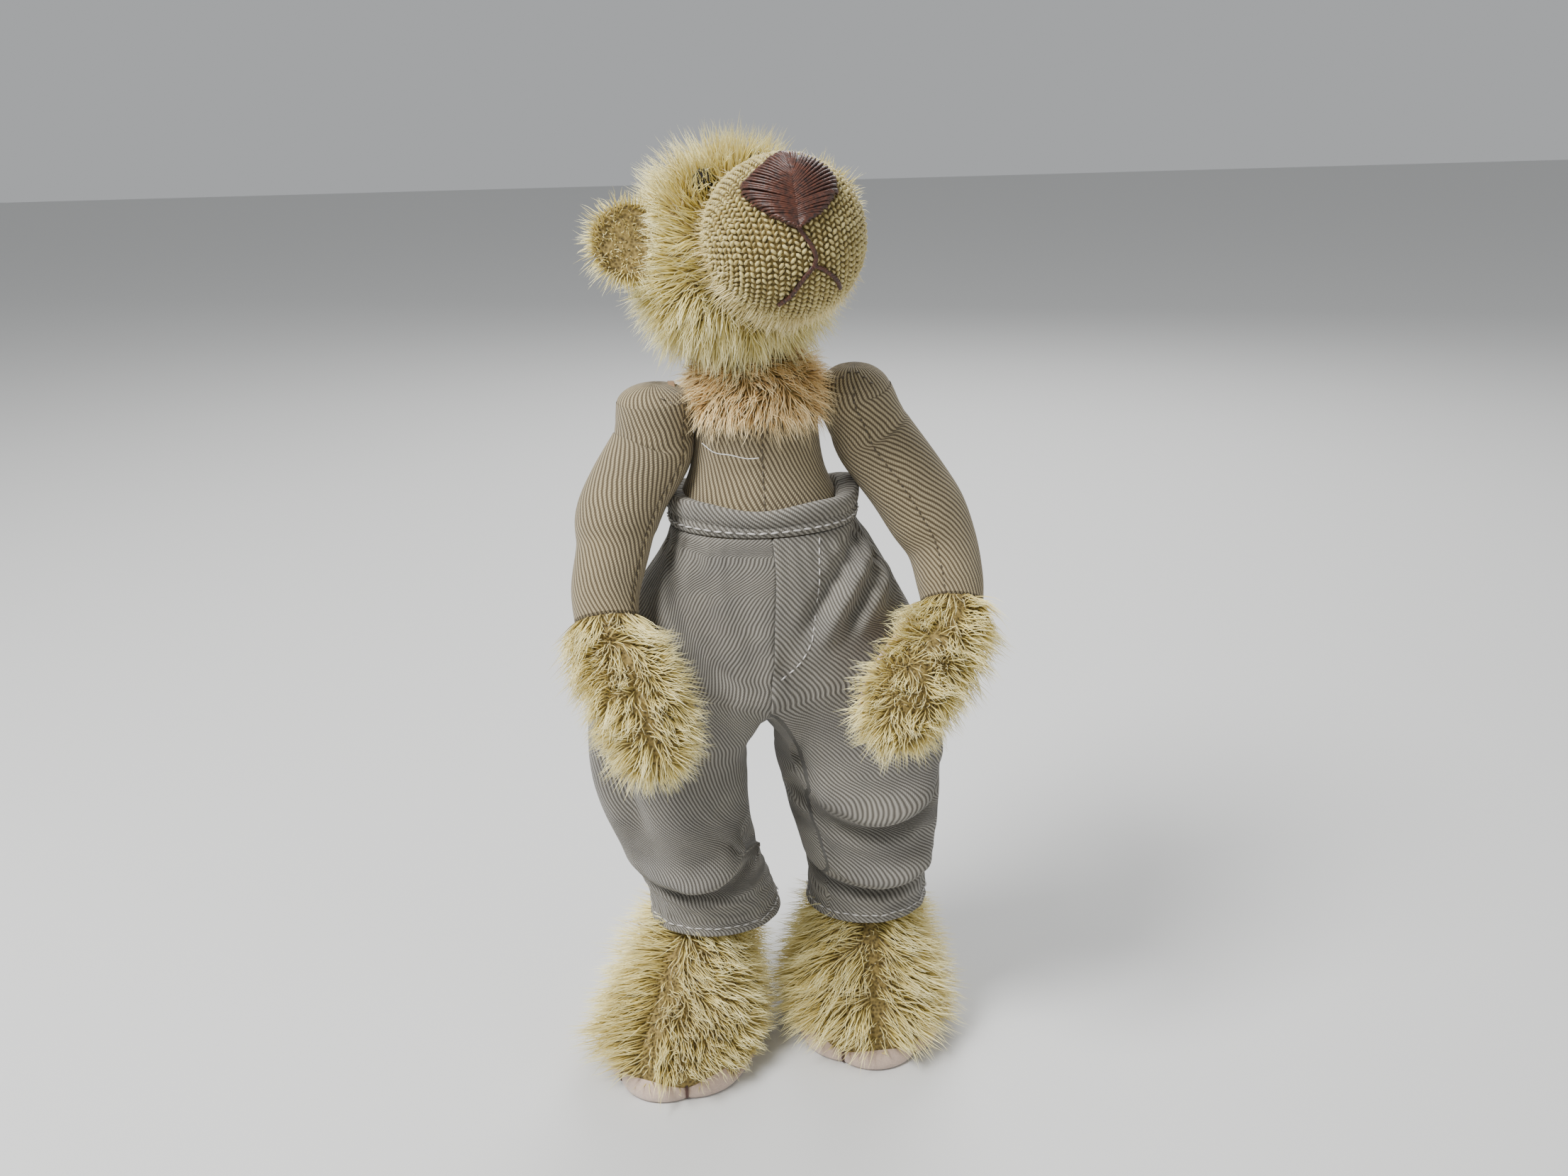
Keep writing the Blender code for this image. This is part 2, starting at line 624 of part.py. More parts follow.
def make_leg(side, values, pivot, joint, place):
    sign = values["sign"]
    ankle = Vector((sign * values["ankle"][0], values["ankle"][1], ANKLE_HEIGHT))
    sole = Vector((sign * values["sole"][0], values["sole"][1], 0))
    spin = sign * values["toe_out"]
    points, radii = rounded_top(place, LEG_RADIUS)
    bow = values["leg_bow"]
    for share, lean in ((0.35, bow[0]), (0.72, bow[1])):
        straight = place.lerp(ankle, share)
        points.append(straight + Vector((sign * lean * 0.3, 0, 0)))
        radii.append(LEG_RADIUS + share * (ANKLE_RADIUS - LEG_RADIUS))
    points.append(ankle)
    radii.append(ANKLE_RADIUS)

    # height, share of the way from the sole's middle to the ankle's, and share of the sole's size
    rise = [
        (0.05, 0.00, 0.94), (0.12, 0.00, 1.00), (0.27, 0.10, 0.97), (0.45, 0.30, 0.84),
        (0.64, 0.60, 0.52), (0.82, 0.86, 0.22), (1.00, 1.00, 0.00),
    ]

    def foot(name, inset, low):
        sections = []
        for height, share, size in rise:
            base = ANKLE_RADIUS if size < 0.8 else 0
            wide = base + size * (SOLE_HALF - base)
            deep = base + size * (SOLE_LENGTH / 2 - base)
            middle = sole.lerp(Vector((ankle.x, ankle.y, 0)), share)
            z = height * ANKLE_HEIGHT
            if height == rise[0][0]:
                z = low
            sections.append((middle.x, middle.y, z, wide - inset, deep - inset, spin))
        return loft(name, sections)

    leg_end = [points[-1] - Vector((0, 0, 6))]
    below = beyond(f"below_ankle_{side}", (0, 0, ANKLE_HEIGHT + GAP), Vector((0, 0, -1)))
    inner_points = [points[0] - Vector((0, 0, WALL)), *points[1:], *leg_end]
    inner_radii = [r - WALL for r in radii] + [ANKLE_RADIUS - WALL]
    leg_hollow = tube(f"leg_hollow_{side}", inner_points, inner_radii)
    skin = tube(f"leg_cover_{side}", points + leg_end, radii + [ANKLE_RADIUS])
    dress(cut(skin, below, leg_hollow, joint["hole"]), "tan_twill", pivot)

    bottom = FELT + GAP
    foot_hollow = foot(f"foot_hollow_{side}", WALL, FELT)
    dress(cut(foot(f"foot_cover_{side}", 0, bottom), foot_hollow, leg_hollow), "mohair", pivot)

    card_top = bottom + 0.6 + CARD
    inner_points = [points[0] - Vector((0, 0, WALL + GAP)), *points[1:], *leg_end]
    inner_radii = [r - WALL - GAP for r in radii] + [ANKLE_RADIUS - WALL - GAP]
    filling = tube(f"leg_stuffing_{side}", inner_points, inner_radii)
    lower = foot(f"foot_filling_{side}", WALL + GAP, card_top + GAP)
    reach = 2 * SOLE_LENGTH
    low, high = (sole.x - reach, -reach, ANKLE_HEIGHT - 2), (sole.x + reach, reach, ANKLE_HEIGHT + 5)
    low_part = box(f"foot_filling_top_{side}", low, high)
    dress(cut(join(filling, cut(lower, low_part)), joint["limb_room"]), "fibre", pivot)

    turn = Matrix.Rotation(math.radians(spin), 4, "Z")
    felt_place = Matrix.Translation((sole.x, sole.y, FELT / 2)) @ turn
    card_place = Matrix.Translation((sole.x, sole.y, card_top - CARD / 2)) @ turn
    dress(plate(f"sole_felt_{side}", sole_outline(0), FELT, felt_place), "felt", pivot)
    dress(plate(f"insole_card_{side}", sole_outline(INSOLE_INSET), CARD, card_place), "board", pivot)
    make_trouser_leg(side, values, pivot, place)


def make_trouser_leg(side, values, pivot, pivot_place):
    def form(name, inset, past):
        sections = []
        for down, shift, wide, deep in values["trouser"]:
            out = shift + (1 - down) * abs(pivot_place.x) + down * values["ankle"][0]
            height = LEG_TOP + down * (HEM_HEIGHT - LEG_TOP)
            height += past if down == 0 else 0
            height -= past if down == 1 else 0
            sections.append((values["sign"] * out, TROUSER_BACK, height, wide - inset, deep - inset, 0))
        return loft(name, sections[::-1])

    outer = form(f"trouser_leg_{side}", 0, 0)
    dress(cut(outer, form(f"trouser_leg_hollow_{side}", TROUSER_WALL, 1)), "grey_twill", pivot)


def make_trousers(pivot):
    band_low = WAIST_TOP - WAIST_BAND
    fall = band_low - SEAT_RIM
    wider = SEAT_HALF - WAIST_HALF
    rows = [
        (0, WAIST_SIDE, WAIST_HALF - 0.4, WAIST_DEEP - 0.4),
        (0.19, WAIST_SIDE + 0.6, WAIST_HALF + 0.18 * wider, WAIST_DEEP + 1.2),
        (0.42, WAIST_SIDE + 0.4, WAIST_HALF + 0.43 * wider, WAIST_DEEP + 2.2),
        (0.65, 0.8 * WAIST_SIDE, WAIST_HALF + 0.65 * wider, SEAT_DEEP - 0.8),
        (0.85, 0.2 * WAIST_SIDE, WAIST_HALF + 0.89 * wider, SEAT_DEEP),
        (1, 0, SEAT_HALF, SEAT_DEEP),
    ]

    def form(name, inset, past):
        sections = []
        for down, x, wide, deep in rows:
            z = band_low - GAP - down * (fall - GAP)
            z += past if down == 0 else 0
            z -= past if down == 1 else 0
            sections.append((x, TROUSER_BACK, z, wide - inset, deep - inset, 0))
        return loft(name, sections[::-1])

    seat = cut(form("trousers_seat", 0, 0), form("seat_hollow", TROUSER_WALL, 1))
    strap_middle = SEAT_RIM + STRAP_RISE
    hang = strap_middle - CROTCH

    def hoop(name, inset, half):
        bm = bmesh.new()
        bmesh.ops.create_cone(bm, cap_ends=True, segments=32, radius1=1, radius2=1, depth=2)
        size = Matrix.Diagonal((half, SEAT_DEEP - 0.7 - inset, hang - inset, 1))
        place = Matrix.Translation((0, TROUSER_BACK, strap_middle))
        return finished(name, bm, place @ size @ Matrix.Rotation(math.radians(90), 4, "Y"))

    gusset = hoop("gusset", 0, GUSSET_HALF)
    inside = hoop("gusset_hollow", TROUSER_WALL, 2 * GUSSET_HALF)
    wide = 2 * SEAT_HALF
    upper = box("above_gusset", (-wide, -wide, strap_middle - 2.2), (wide, wide, BODY_TOP))
    dress(join(seat, cut(gusset, inside, upper)), "grey_twill", pivot)

    def hoop_of_waist(name, inset, past):
        ends = (band_low - past, WAIST_TOP + past)
        return loft(name, [(WAIST_SIDE, TROUSER_BACK, z, WAIST_HALF - inset, WAIST_DEEP - inset, 0) for z in ends])

    band = hoop_of_waist("waistband", 0, 0)
    dress(cut(band, hoop_of_waist("waistband_hollow", WAIST_WALL, 1)), "grey_twill", pivot)


def neck_joint(bodies):
    """The neck's bolt runs up the lean from the body's top to the middle of the head."""
    way = (NECK_FOOT - HEAD_CENTRE).normalized()
    reach = math.sqrt((HEAD_RADIUS - WALL) ** 2 - (NECK_DISC_RADIUS + GAP) ** 2) - GAP
    top = (BODY_TOP - HEAD_CENTRE.z) / way.z
    body_disc = top + WALL + NECK_DISC_RADIUS * 0.62
    return joint_hardware("neck", way, HEAD_CENTRE, body_disc, reach, NECK_DISC_RADIUS, bodies)


def stand_on_origin(root):
    """Moves the whole bear so that the middle of its box's floor is the origin."""
    bpy.context.view_layer.update()
    graph = bpy.context.evaluated_depsgraph_get()
    low, high = Vector((1e9,) * 3), Vector((-1e9,) * 3)
    for obj in COLLECTIONS["jointed_bear"].objects:
        if obj.type != "MESH":
            continue
        seen = obj.evaluated_get(graph)
        for corner in seen.bound_box:
            place = seen.matrix_world @ Vector(corner)
            low = Vector(map(min, low, place))
            high = Vector(map(max, high, place))
    root.location = (-(low.x + high.x) / 2, -(low.y + high.y) / 2, -low.z)


COLLECTIONS = start_scene()
MATERIALS = {
    "mohair": material("pale_mohair", (0.62, 0.53, 0.30), 0.85),
    "cream_mohair": material("cream_mohair", (0.66, 0.51, 0.30), 0.85),
    "clipped_mohair": material("clipped_mohair", (0.44, 0.38, 0.18), 0.9),
    "tan_twill": material("tan_twill", (0.30, 0.25, 0.16), 0.9),
    "grey_twill": material("grey_twill", (0.26, 0.25, 0.23), 0.9),
    "felt": material("felt", (0.55, 0.40, 0.31), 0.95),
    "brown_thread": material("brown_thread", (0.12, 0.035, 0.02), 0.6),
    "black_glass": material("black_glass", (0.01, 0.01, 0.01), 0.08),
    "fibre": material("fibre", (0.8, 0.8, 0.78), 0.95),
    "board": material("fibre_board", (0.32, 0.2, 0.11), 0.8),
    "steel": material("steel", (0.6, 0.6, 0.6), 0.3, 1.0),
}
HEAD_AXES = head_axes()
ROOT = pivot_empty("bear_root", (0, 0, 0))
SHOULDERS = {}
HIPS = {}
for side, values in SIDES.items():
    shoulder_out = body_half(SHOULDER_Z) + RUN + ARM_RADIUS
    hip_out = body_half(HIP_Z) + RUN + LEG_RADIUS
    SHOULDERS[side] = Vector((values["sign"] * shoulder_out, 0, SHOULDER_Z))
    HIPS[side] = Vector((values["sign"] * hip_out, 0, HIP_Z))

PIVOTS = {"torso": pivot_empty("torso_pivot", (0, 0, 0)), "head": pivot_empty("head_pivot", HEAD_CENTRE)}
for side in SIDES:
    PIVOTS[f"arm_{side}"] = pivot_empty(f"arm_{side}_pivot", SHOULDERS[side])
    PIVOTS[f"leg_{side}"] = pivot_empty(f"leg_{side}_pivot", HIPS[side])

NECK = neck_joint((PIVOTS["torso"], PIVOTS["head"]))
SHOULDER_JOINTS = []
HIP_JOINTS = []
for side, values in SIDES.items():
    pair = (PIVOTS["torso"], PIVOTS[f"arm_{side}"])
    slope = -values["arm"][0][0] / values["arm"][0][2]
    limb = (ARM_RADIUS, SHOULDER_DISC_RADIUS, slope)
    SHOULDER_JOINTS.append(side_joint(f"shoulder_{side}", values["sign"], SHOULDERS[side], limb, pair))
    pair = (PIVOTS["torso"], PIVOTS[f"leg_{side}"])
    limb = (LEG_RADIUS, HIP_DISC_RADIUS, 0)
    HIP_JOINTS.append(side_joint(f"hip_{side}", values["sign"], HIPS[side], limb, pair))

make_torso(PIVOTS, NECK, SHOULDER_JOINTS, HIP_JOINTS)
make_trousers(PIVOTS["torso"])
make_head(PIVOTS["head"], NECK)
for i, (side, values) in enumerate(SIDES.items()):
    make_arm(side, values, PIVOTS[f"arm_{side}"], SHOULDER_JOINTS[i], SHOULDERS[side])
    make_leg(side, values, PIVOTS[f"leg_{side}"], HIP_JOINTS[i], HIPS[side])
for moved in [*PIVOTS.values(), *COLLECTIONS["cutters"].objects]:
    moved.parent = ROOT
stand_on_origin(ROOT)
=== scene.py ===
import json
import math

import bmesh
import bpy
import numpy as np
from mathutils import Matrix, Vector


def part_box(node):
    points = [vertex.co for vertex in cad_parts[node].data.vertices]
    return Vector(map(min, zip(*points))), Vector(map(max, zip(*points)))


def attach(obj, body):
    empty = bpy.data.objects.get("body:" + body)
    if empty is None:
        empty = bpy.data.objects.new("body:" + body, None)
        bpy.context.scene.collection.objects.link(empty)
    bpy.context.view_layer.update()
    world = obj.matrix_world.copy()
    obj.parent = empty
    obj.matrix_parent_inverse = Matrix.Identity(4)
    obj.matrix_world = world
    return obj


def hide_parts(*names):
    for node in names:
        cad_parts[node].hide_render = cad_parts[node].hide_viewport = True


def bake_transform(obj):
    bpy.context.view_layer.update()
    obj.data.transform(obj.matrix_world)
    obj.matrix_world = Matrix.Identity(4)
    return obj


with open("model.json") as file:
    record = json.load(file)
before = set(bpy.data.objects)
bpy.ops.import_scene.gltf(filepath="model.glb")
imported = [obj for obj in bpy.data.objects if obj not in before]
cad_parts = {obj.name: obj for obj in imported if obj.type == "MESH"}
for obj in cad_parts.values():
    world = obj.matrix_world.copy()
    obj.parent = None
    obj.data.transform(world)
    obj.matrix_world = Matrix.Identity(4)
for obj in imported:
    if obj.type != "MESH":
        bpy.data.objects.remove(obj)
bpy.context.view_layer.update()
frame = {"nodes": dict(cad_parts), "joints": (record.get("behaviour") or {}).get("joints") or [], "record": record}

mm = 0.001
torsoLow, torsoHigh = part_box("torso_cover")
bodyMiddle = np.array([(torsoLow.x + torsoHigh.x) / 2, (torsoLow.y + torsoHigh.y) / 2, 0])
jointAt = {joint["name"]: np.array(joint["pos_m"]) for joint in frame["joints"] if "pos_m" in joint}
sides = {"right": -1, "left": 1}
print("frame loaded")


def unit(v):
    v = np.asarray(v, float)
    return v / np.maximum(np.linalg.norm(v, axis=-1, keepdims=True), 1e-12)


def hill(x):
    return np.exp(-(x**2))  # 1 in the middle, falling to nothing on both sides


def smoothRows(rows, count):
    rows = np.array(rows, float)
    steps = np.linspace(0, len(rows) - 1, count)
    low = np.clip(steps.astype(int), 0, len(rows) - 2)
    t = (steps - low)[:, None]
    longer = np.vstack([2 * rows[0] - rows[1], rows, 2 * rows[-1] - rows[-2]])
    a, b, c, d = (longer[low + k] for k in range(4))
    return 0.5 * (2 * b + (c - a) * t + (2 * a - 5 * b + 4 * c - d) * t**2 + (3 * b - a - 3 * c + d) * t**3)


def newObject(name, points, faces, material=None, smooth=True):
    mesh = bpy.data.meshes.new(name)
    mesh.from_pydata(np.asarray(points).tolist(), [], [tuple(int(i) for i in f) for f in faces])
    mesh.update()
    obj = bpy.data.objects.new(name, mesh)
    bpy.context.scene.collection.objects.link(obj)
    if smooth and faces:
        mesh.shade_smooth()
    if material:
        mesh.materials.append(material)
    return obj


def tubeRings(rows, around, swell=None):
    # rows of centre and two half widths; returns the rings' points, along by around
    centres, wide, deep = rows[:, :3], rows[:, 3], rows[:, 4]
    way = unit(np.gradient(centres, axis=0))
    sideWay = np.zeros_like(way)
    sideWay[0] = unit(np.array([1.0, 0, 0]) - way[0] * way[0][0])
    for i in range(1, len(way)):
        sideWay[i] = unit(sideWay[i - 1] - way[i] * (sideWay[i - 1] @ way[i]))
    backWay = np.cross(way, sideWay)
    angle = np.linspace(0, 2 * math.pi, around, endpoint=False)
    share = np.linspace(0, 1, len(rows))
    grow = 1 + (swell(share[:, None], angle[None, :]) if swell else 0 * angle[None, :])
    reachA = (wide[:, None] * np.cos(angle) * grow)[..., None] * sideWay[:, None]
    reachB = (deep[:, None] * np.sin(angle) * grow)[..., None] * backWay[:, None]
    return centres[:, None] + reachA + reachB


def skinFromRings(name, rings, material, capped=True):
    count, around = rings.shape[:2]
    points = rings.reshape(-1, 3)
    faces, uv = [], []
    girth = np.linalg.norm(np.diff(np.concatenate([rings, rings[:, :1]], 1), axis=1), axis=2).sum(1).mean()
    step = np.linalg.norm(np.diff(rings.mean(1), axis=0), axis=1)
    along = np.concatenate([[0], np.cumsum(step)])
    for i in range(count - 1):
        for j in range(around):
            k = (j + 1) % around
            faces.append((i * around + j, i * around + k, (i + 1) * around + k, (i + 1) * around + j))
            a, b = girth * j / around, girth * (j + 1) / around
            uv += [(a, along[i]), (b, along[i]), (b, along[i + 1]), (a, along[i + 1])]
    if capped:
        for ring, far in ((0, along[0]), (count - 1, along[-1])):
            points = np.vstack([points, rings[ring].mean(0)])
            middle = len(points) - 1
            for j in range(around):
                k = (j + 1) % around
                pair = (ring * around + j, ring * around + k)
                faces.append((*(pair if ring else pair[::-1]), middle))
                uv += [(girth * (j + part) / around, far) for part in (0, 1, 0.5)]
    obj = newObject(name, points, faces, material)
    layer = obj.data.uv_layers.new(name="Cloth")
    layer.data.foreach_set("uv", np.array(uv, np.float32).ravel())
    return faceOut(obj) if capped else obj


def faceOut(obj):
    bm = bmesh.new()
    bm.from_mesh(obj.data)
    bmesh.ops.recalc_face_normals(bm, faces=bm.faces)
    bm.to_mesh(obj.data)
    bm.free()
    return obj


def ballSkin(name, centre, radii, material, turn=None, detail=5):
    bm = bmesh.new()
    bmesh.ops.create_icosphere(bm, subdivisions=detail, radius=1, calc_uvs=True)
    place = Matrix.Translation(Vector(centre)) @ (turn or Matrix.Identity(4)) @ Matrix.Diagonal((*radii, 1))
    bmesh.ops.transform(bm, matrix=place, verts=bm.verts)
    mesh = bpy.data.meshes.new(name)
    bm.to_mesh(mesh)
    bm.free()
    mesh.shade_smooth()
    mesh.materials.append(material)
    obj = bpy.data.objects.new(name, mesh)
    bpy.context.scene.collection.objects.link(obj)
    return obj


def pointsOf(obj):
    co = np.empty(len(obj.data.vertices) * 3, np.float32)
    obj.data.vertices.foreach_get("co", co)
    return co.reshape(-1, 3).astype(float)


def normalsOf(obj):
    co = np.empty(len(obj.data.vertices) * 3, np.float32)
    obj.data.vertex_normals.foreach_get("vector", co)
    return co.reshape(-1, 3).astype(float)


def giveValues(obj, name, values):
    values = np.asarray(values, np.float32)
    kind = "FLOAT_VECTOR" if values.ndim == 2 else "FLOAT"
    data = obj.data.attributes.new(name, kind, "POINT").data
    data.foreach_set("vector" if values.ndim == 2 else "value", values.ravel())


def polyline(name, paths):
    # loose edges through each path's points, for the thread and stitch trees
    points, edges = [], []
    for path in paths:
        start = len(points)
        points += [tuple(map(float, p)) for p in path]
        edges += [(start + i, start + i + 1) for i in range(len(path) - 1)]
    mesh = bpy.data.meshes.new(name)
    mesh.from_pydata(points, edges, [])
    obj = bpy.data.objects.new(name, mesh)
    bpy.context.scene.collection.objects.link(obj)
    return obj


def newTree(name, inputs):
    tree = bpy.data.node_groups.new(name, "GeometryNodeTree")
    tree.interface.new_socket("Geometry", in_out="INPUT", socket_type="NodeSocketGeometry")
    for label, kind, value in inputs:
        socket = tree.interface.new_socket(label, in_out="INPUT", socket_type="NodeSocket" + kind)
        if value is not None:
            socket.default_value = value
    tree.interface.new_socket("Geometry", in_out="OUTPUT", socket_type="NodeSocketGeometry")
    return tree, tree.nodes.new("NodeGroupInput").outputs


def put(tree, kind, inputs=None, **settings):
    made = tree.nodes.new(kind)
    for key, value in settings.items():
        setattr(made, key, value)
    for key, value in (inputs or {}).items():
        if isinstance(value, bpy.types.NodeSocket):
            tree.links.new(value, made.inputs[key])
        else:
            made.inputs[key].default_value = value
    return made


def math1(tree, operation, *values):
    return put(tree, "ShaderNodeMath", dict(enumerate(values)), operation=operation).outputs[0]


def vector1(tree, operation, a, b=None, scale=None):
    given = {0: a}
    if b is not None:
        given[1] = b
    if scale is not None:
        given["Scale"] = scale
    return put(tree, "ShaderNodeVectorMath", given, operation=operation).outputs[0]


def times(tree, a, b):
    return math1(tree, "MULTIPLY", a, b)


def plus(tree, a, b):
    return vector1(tree, "ADD", a, b)


def scaled(tree, a, amount):
    return vector1(tree, "SCALE", a, scale=amount)


def xyz(tree, **parts):
    return put(tree, "ShaderNodeCombineXYZ", parts).outputs[0]


def noise1(tree, place, scale, detail, output="Fac", **more):
    given = {"Vector": place, "Scale": scale, "Detail": detail, **more}
    return put(tree, "ShaderNodeTexNoise", given).outputs[output]


def objectPlace(tree):
    return put(tree, "ShaderNodeTexCoord").outputs["Object"]


def named(tree, name, kind="FLOAT"):
    return put(tree, "GeometryNodeInputNamedAttribute", {"Name": name}, data_type=kind).outputs["Attribute"]


def remember(tree, geometry, name, value, kind="FLOAT", domain="POINT"):
    made = put(
        tree, "GeometryNodeStoreNamedAttribute", {"Geometry": geometry, "Name": name}, data_type=kind,
        domain=domain,
    )
    tree.links.new(value, made.inputs["Value"])
    return made.outputs[0]


def between(tree, low, high, seed, kind="FLOAT", salt=0):
    salted = math1(tree, "ADD", seed, salt)
    made = put(tree, "FunctionNodeRandomValue", {"Seed": salted}, data_type=kind)
    pair = [s for s in made.inputs if s.enabled and s.name in ("Min", "Max")]
    for socket, value in zip(pair, (low, high)):
        if isinstance(value, bpy.types.NodeSocket):
            tree.links.new(value, socket)
        else:
            socket.default_value = value
    return next(s for s in made.outputs if s.enabled)


def deliver(tree, geometry, material):
    painted = put(tree, "GeometryNodeSetMaterial", {"Geometry": geometry, "Material": material}).outputs[0]
    put(tree, "NodeGroupOutput", {"Geometry": painted})
    return tree


def furTree():
    tree, given = newTree("FurStrands", [
        ("Spacing", "Float", 0.0006), ("Length", "Float", 0.007), ("Length spread", "Float", 0.3),
        ("Width", "Float", 0.00013), ("Lean", "Float", 0.6), ("Clump size", "Float", 0.004),
        ("Clump pull", "Float", 0.5), ("Tousle", "Float", 0.5), ("Stray", "Float", 0.2),
        ("Droop", "Float", 0.2), ("Wave", "Float", 0.0004), ("Seed", "Int", 1),
        ("Material", "Material", None),
    ])
    scatter = put(tree, "GeometryNodeDistributePointsOnFaces", {
        "Mesh": given["Geometry"], "Distance Min": given["Spacing"], "Density Max": 2e7,
        "Density Factor": named(tree, "pile"), "Seed": given["Seed"],
    }, distribute_method="POISSON")
    place = put(tree, "GeometryNodeInputPosition").outputs[0]
    seed = given["Seed"]
    reach = times(tree, given["Length"], named(tree, "reach"))
    spread = between(tree, math1(tree, "SUBTRACT", 1, given["Length spread"]), 1.0, seed, salt=11)
    length = times(tree, reach, spread)
    noise = put(tree, "ShaderNodeTexNoise", {"Vector": place, "Scale": 210.0, "Detail": 2.0})
    tousle = vector1(tree, "SUBTRACT", noise.outputs["Color"], (0.5, 0.5, 0.5))
    tousle = scaled(tree, tousle, times(tree, given["Tousle"], 4))
    stray = between(tree, (-1, -1, -1), (1, 1, 1), seed, "FLOAT_VECTOR", 23)
    stray = scaled(tree, stray, given["Stray"])
    way = scaled(tree, named(tree, "comb", "FLOAT_VECTOR"), given["Lean"])
    way = plus(tree, plus(tree, scatter.outputs["Normal"], way), plus(tree, tousle, stray))
    cell = put(
        tree, "ShaderNodeTexVoronoi",
        {"Vector": place, "Scale": math1(tree, "DIVIDE", 1, given["Clump size"])},
    )
    pull = vector1(tree, "SUBTRACT", cell.outputs["Position"], place)
    pull = scaled(tree, pull, given["Clump pull"])
    fall = xyz(tree, Z=times(tree, times(tree, length, given["Droop"]), -1))
    swing = plus(tree, pull, fall)
    kink = scaled(tree, between(tree, (-1, -1, -1), (1, 1, 1), seed, "FLOAT_VECTOR", 37), given["Wave"])
    roots = remember(tree, scatter.outputs["Points"], "swing", swing, "FLOAT_VECTOR")
    roots = remember(tree, roots, "kink", kink, "FLOAT_VECTOR")
    roots = remember(tree, roots, "tone", between(tree, 0.0, 1.0, seed, salt=41))
    cone = put(
        tree, "GeometryNodeMeshCone",
        {"Vertices": 3, "Side Segments": 3, "Radius Top": 0.0, "Radius Bottom": 1.0, "Depth": 1.0},
    )
    height = put(
        tree, "ShaderNodeSeparateXYZ", {0: put(tree, "GeometryNodeInputPosition").outputs[0]},
    ).outputs["Z"]
    strand = remember(tree, cone.outputs["Mesh"], "along", height)
    strand = remember(tree, strand, "OFBake", cone.outputs["UV Map"], "FLOAT2", "CORNER")
    turn = put(
        tree, "FunctionNodeAlignRotationToVector", {"Vector": vector1(tree, "NORMALIZE", way)}, axis="Z",
    ).outputs[0]
    size = xyz(tree, X=given["Width"], Y=given["Width"], Z=length)
    placed = put(
        tree, "GeometryNodeInstanceOnPoints",
        {"Points": roots, "Instance": strand, "Rotation": turn, "Scale": size},
    )
    real = put(tree, "GeometryNodeRealizeInstances", {0: placed.outputs[0]}).outputs[0]
    along = named(tree, "along")
    square = times(tree, along, along)
    phase = math1(tree, "ADD", times(tree, along, 5), times(tree, named(tree, "tone"), 6.28))
    ripple = times(tree, math1(tree, "SINE", phase), along)
    bend = scaled(tree, named(tree, "swing", "FLOAT_VECTOR"), square)
    bend = plus(tree, bend, scaled(tree, named(tree, "kink", "FLOAT_VECTOR"), ripple))
    bent = put(tree, "GeometryNodeSetPosition", {"Geometry": real, "Offset": bend}).outputs[0]
    for name in ("swing", "kink"):
        bent = put(tree, "GeometryNodeRemoveAttribute", {"Geometry": bent, "Name": name}).outputs[0]
    return deliver(tree, bent, given["Material"])


def threadTree():
    tree, given = newTree(
        "ThreadOnPath", [("Radius", "Float", 0.0002), ("Sides", "Int", 6), ("Material", "Material", None)],
    )
    line = put(tree, "GeometryNodeMeshToCurve", {"Mesh": given["Geometry"]}).outputs[0]
    ring = put(
        tree, "GeometryNodeCurvePrimitiveCircle", {"Resolution": given["Sides"], "Radius": given["Radius"]},
    )
    thread = put(
        tree, "GeometryNodeCurveToMesh", {"Curve": line, "Profile Curve": ring.outputs[0], "Fill Caps": True},
    ).outputs[0]
    smooth = put(tree, "GeometryNodeSetShadeSmooth", {"Geometry": thread}).outputs[0]
    return deliver(tree, smooth, given["Material"])


def stitchTree():
    tree, given = newTree("StitchesOnPath", [
        ("Pitch", "Float", 0.0021), ("Stitch", "Float", 0.0016), ("Radius", "Float", 0.00018),
        ("Slant", "Float", 0.0), ("Seed", "Int", 3), ("Material", "Material", None),
    ])
    line = put(tree, "GeometryNodeMeshToCurve", {"Mesh": given["Geometry"]}).outputs[0]
    dots = put(tree, "GeometryNodeCurveToPoints", {"Curve": line, "Length": given["Pitch"]}, mode="LENGTH")
    tangent = dots.outputs["Tangent"]
    grain = put(tree, "GeometryNodeMeshUVSphere", {"Segments": 8, "Rings": 6, "Radius": 1.0}).outputs[0]
    turn = put(tree, "FunctionNodeAlignRotationToVector", {"Vector": tangent}, axis="X").outputs[0]
    turn = put(tree, "FunctionNodeRotateRotation", {
        "Rotation": turn,
        "Rotate By": put(tree, "FunctionNodeEulerToRotation", {
            0: xyz(tree, Y=between(tree, -0.12, 0.12, given["Seed"], salt=5), Z=given["Slant"]),
        }).outputs[0],
    }, rotation_space="LOCAL").outputs[0]
    half = times(tree, given["Stitch"], 0.5)
    size = xyz(tree, X=half, Y=given["Radius"], Z=given["Radius"])
    placed = put(
        tree, "GeometryNodeInstanceOnPoints",
        {"Points": dots.outputs["Points"], "Instance": grain, "Rotation": turn, "Scale": size},
    )
    real = put(tree, "GeometryNodeRealizeInstances", {0: placed.outputs[0]}).outputs[0]
    smooth = put(tree, "GeometryNodeSetShadeSmooth", {"Geometry": real}).outputs[0]
    return deliver(tree, smooth, given["Material"])


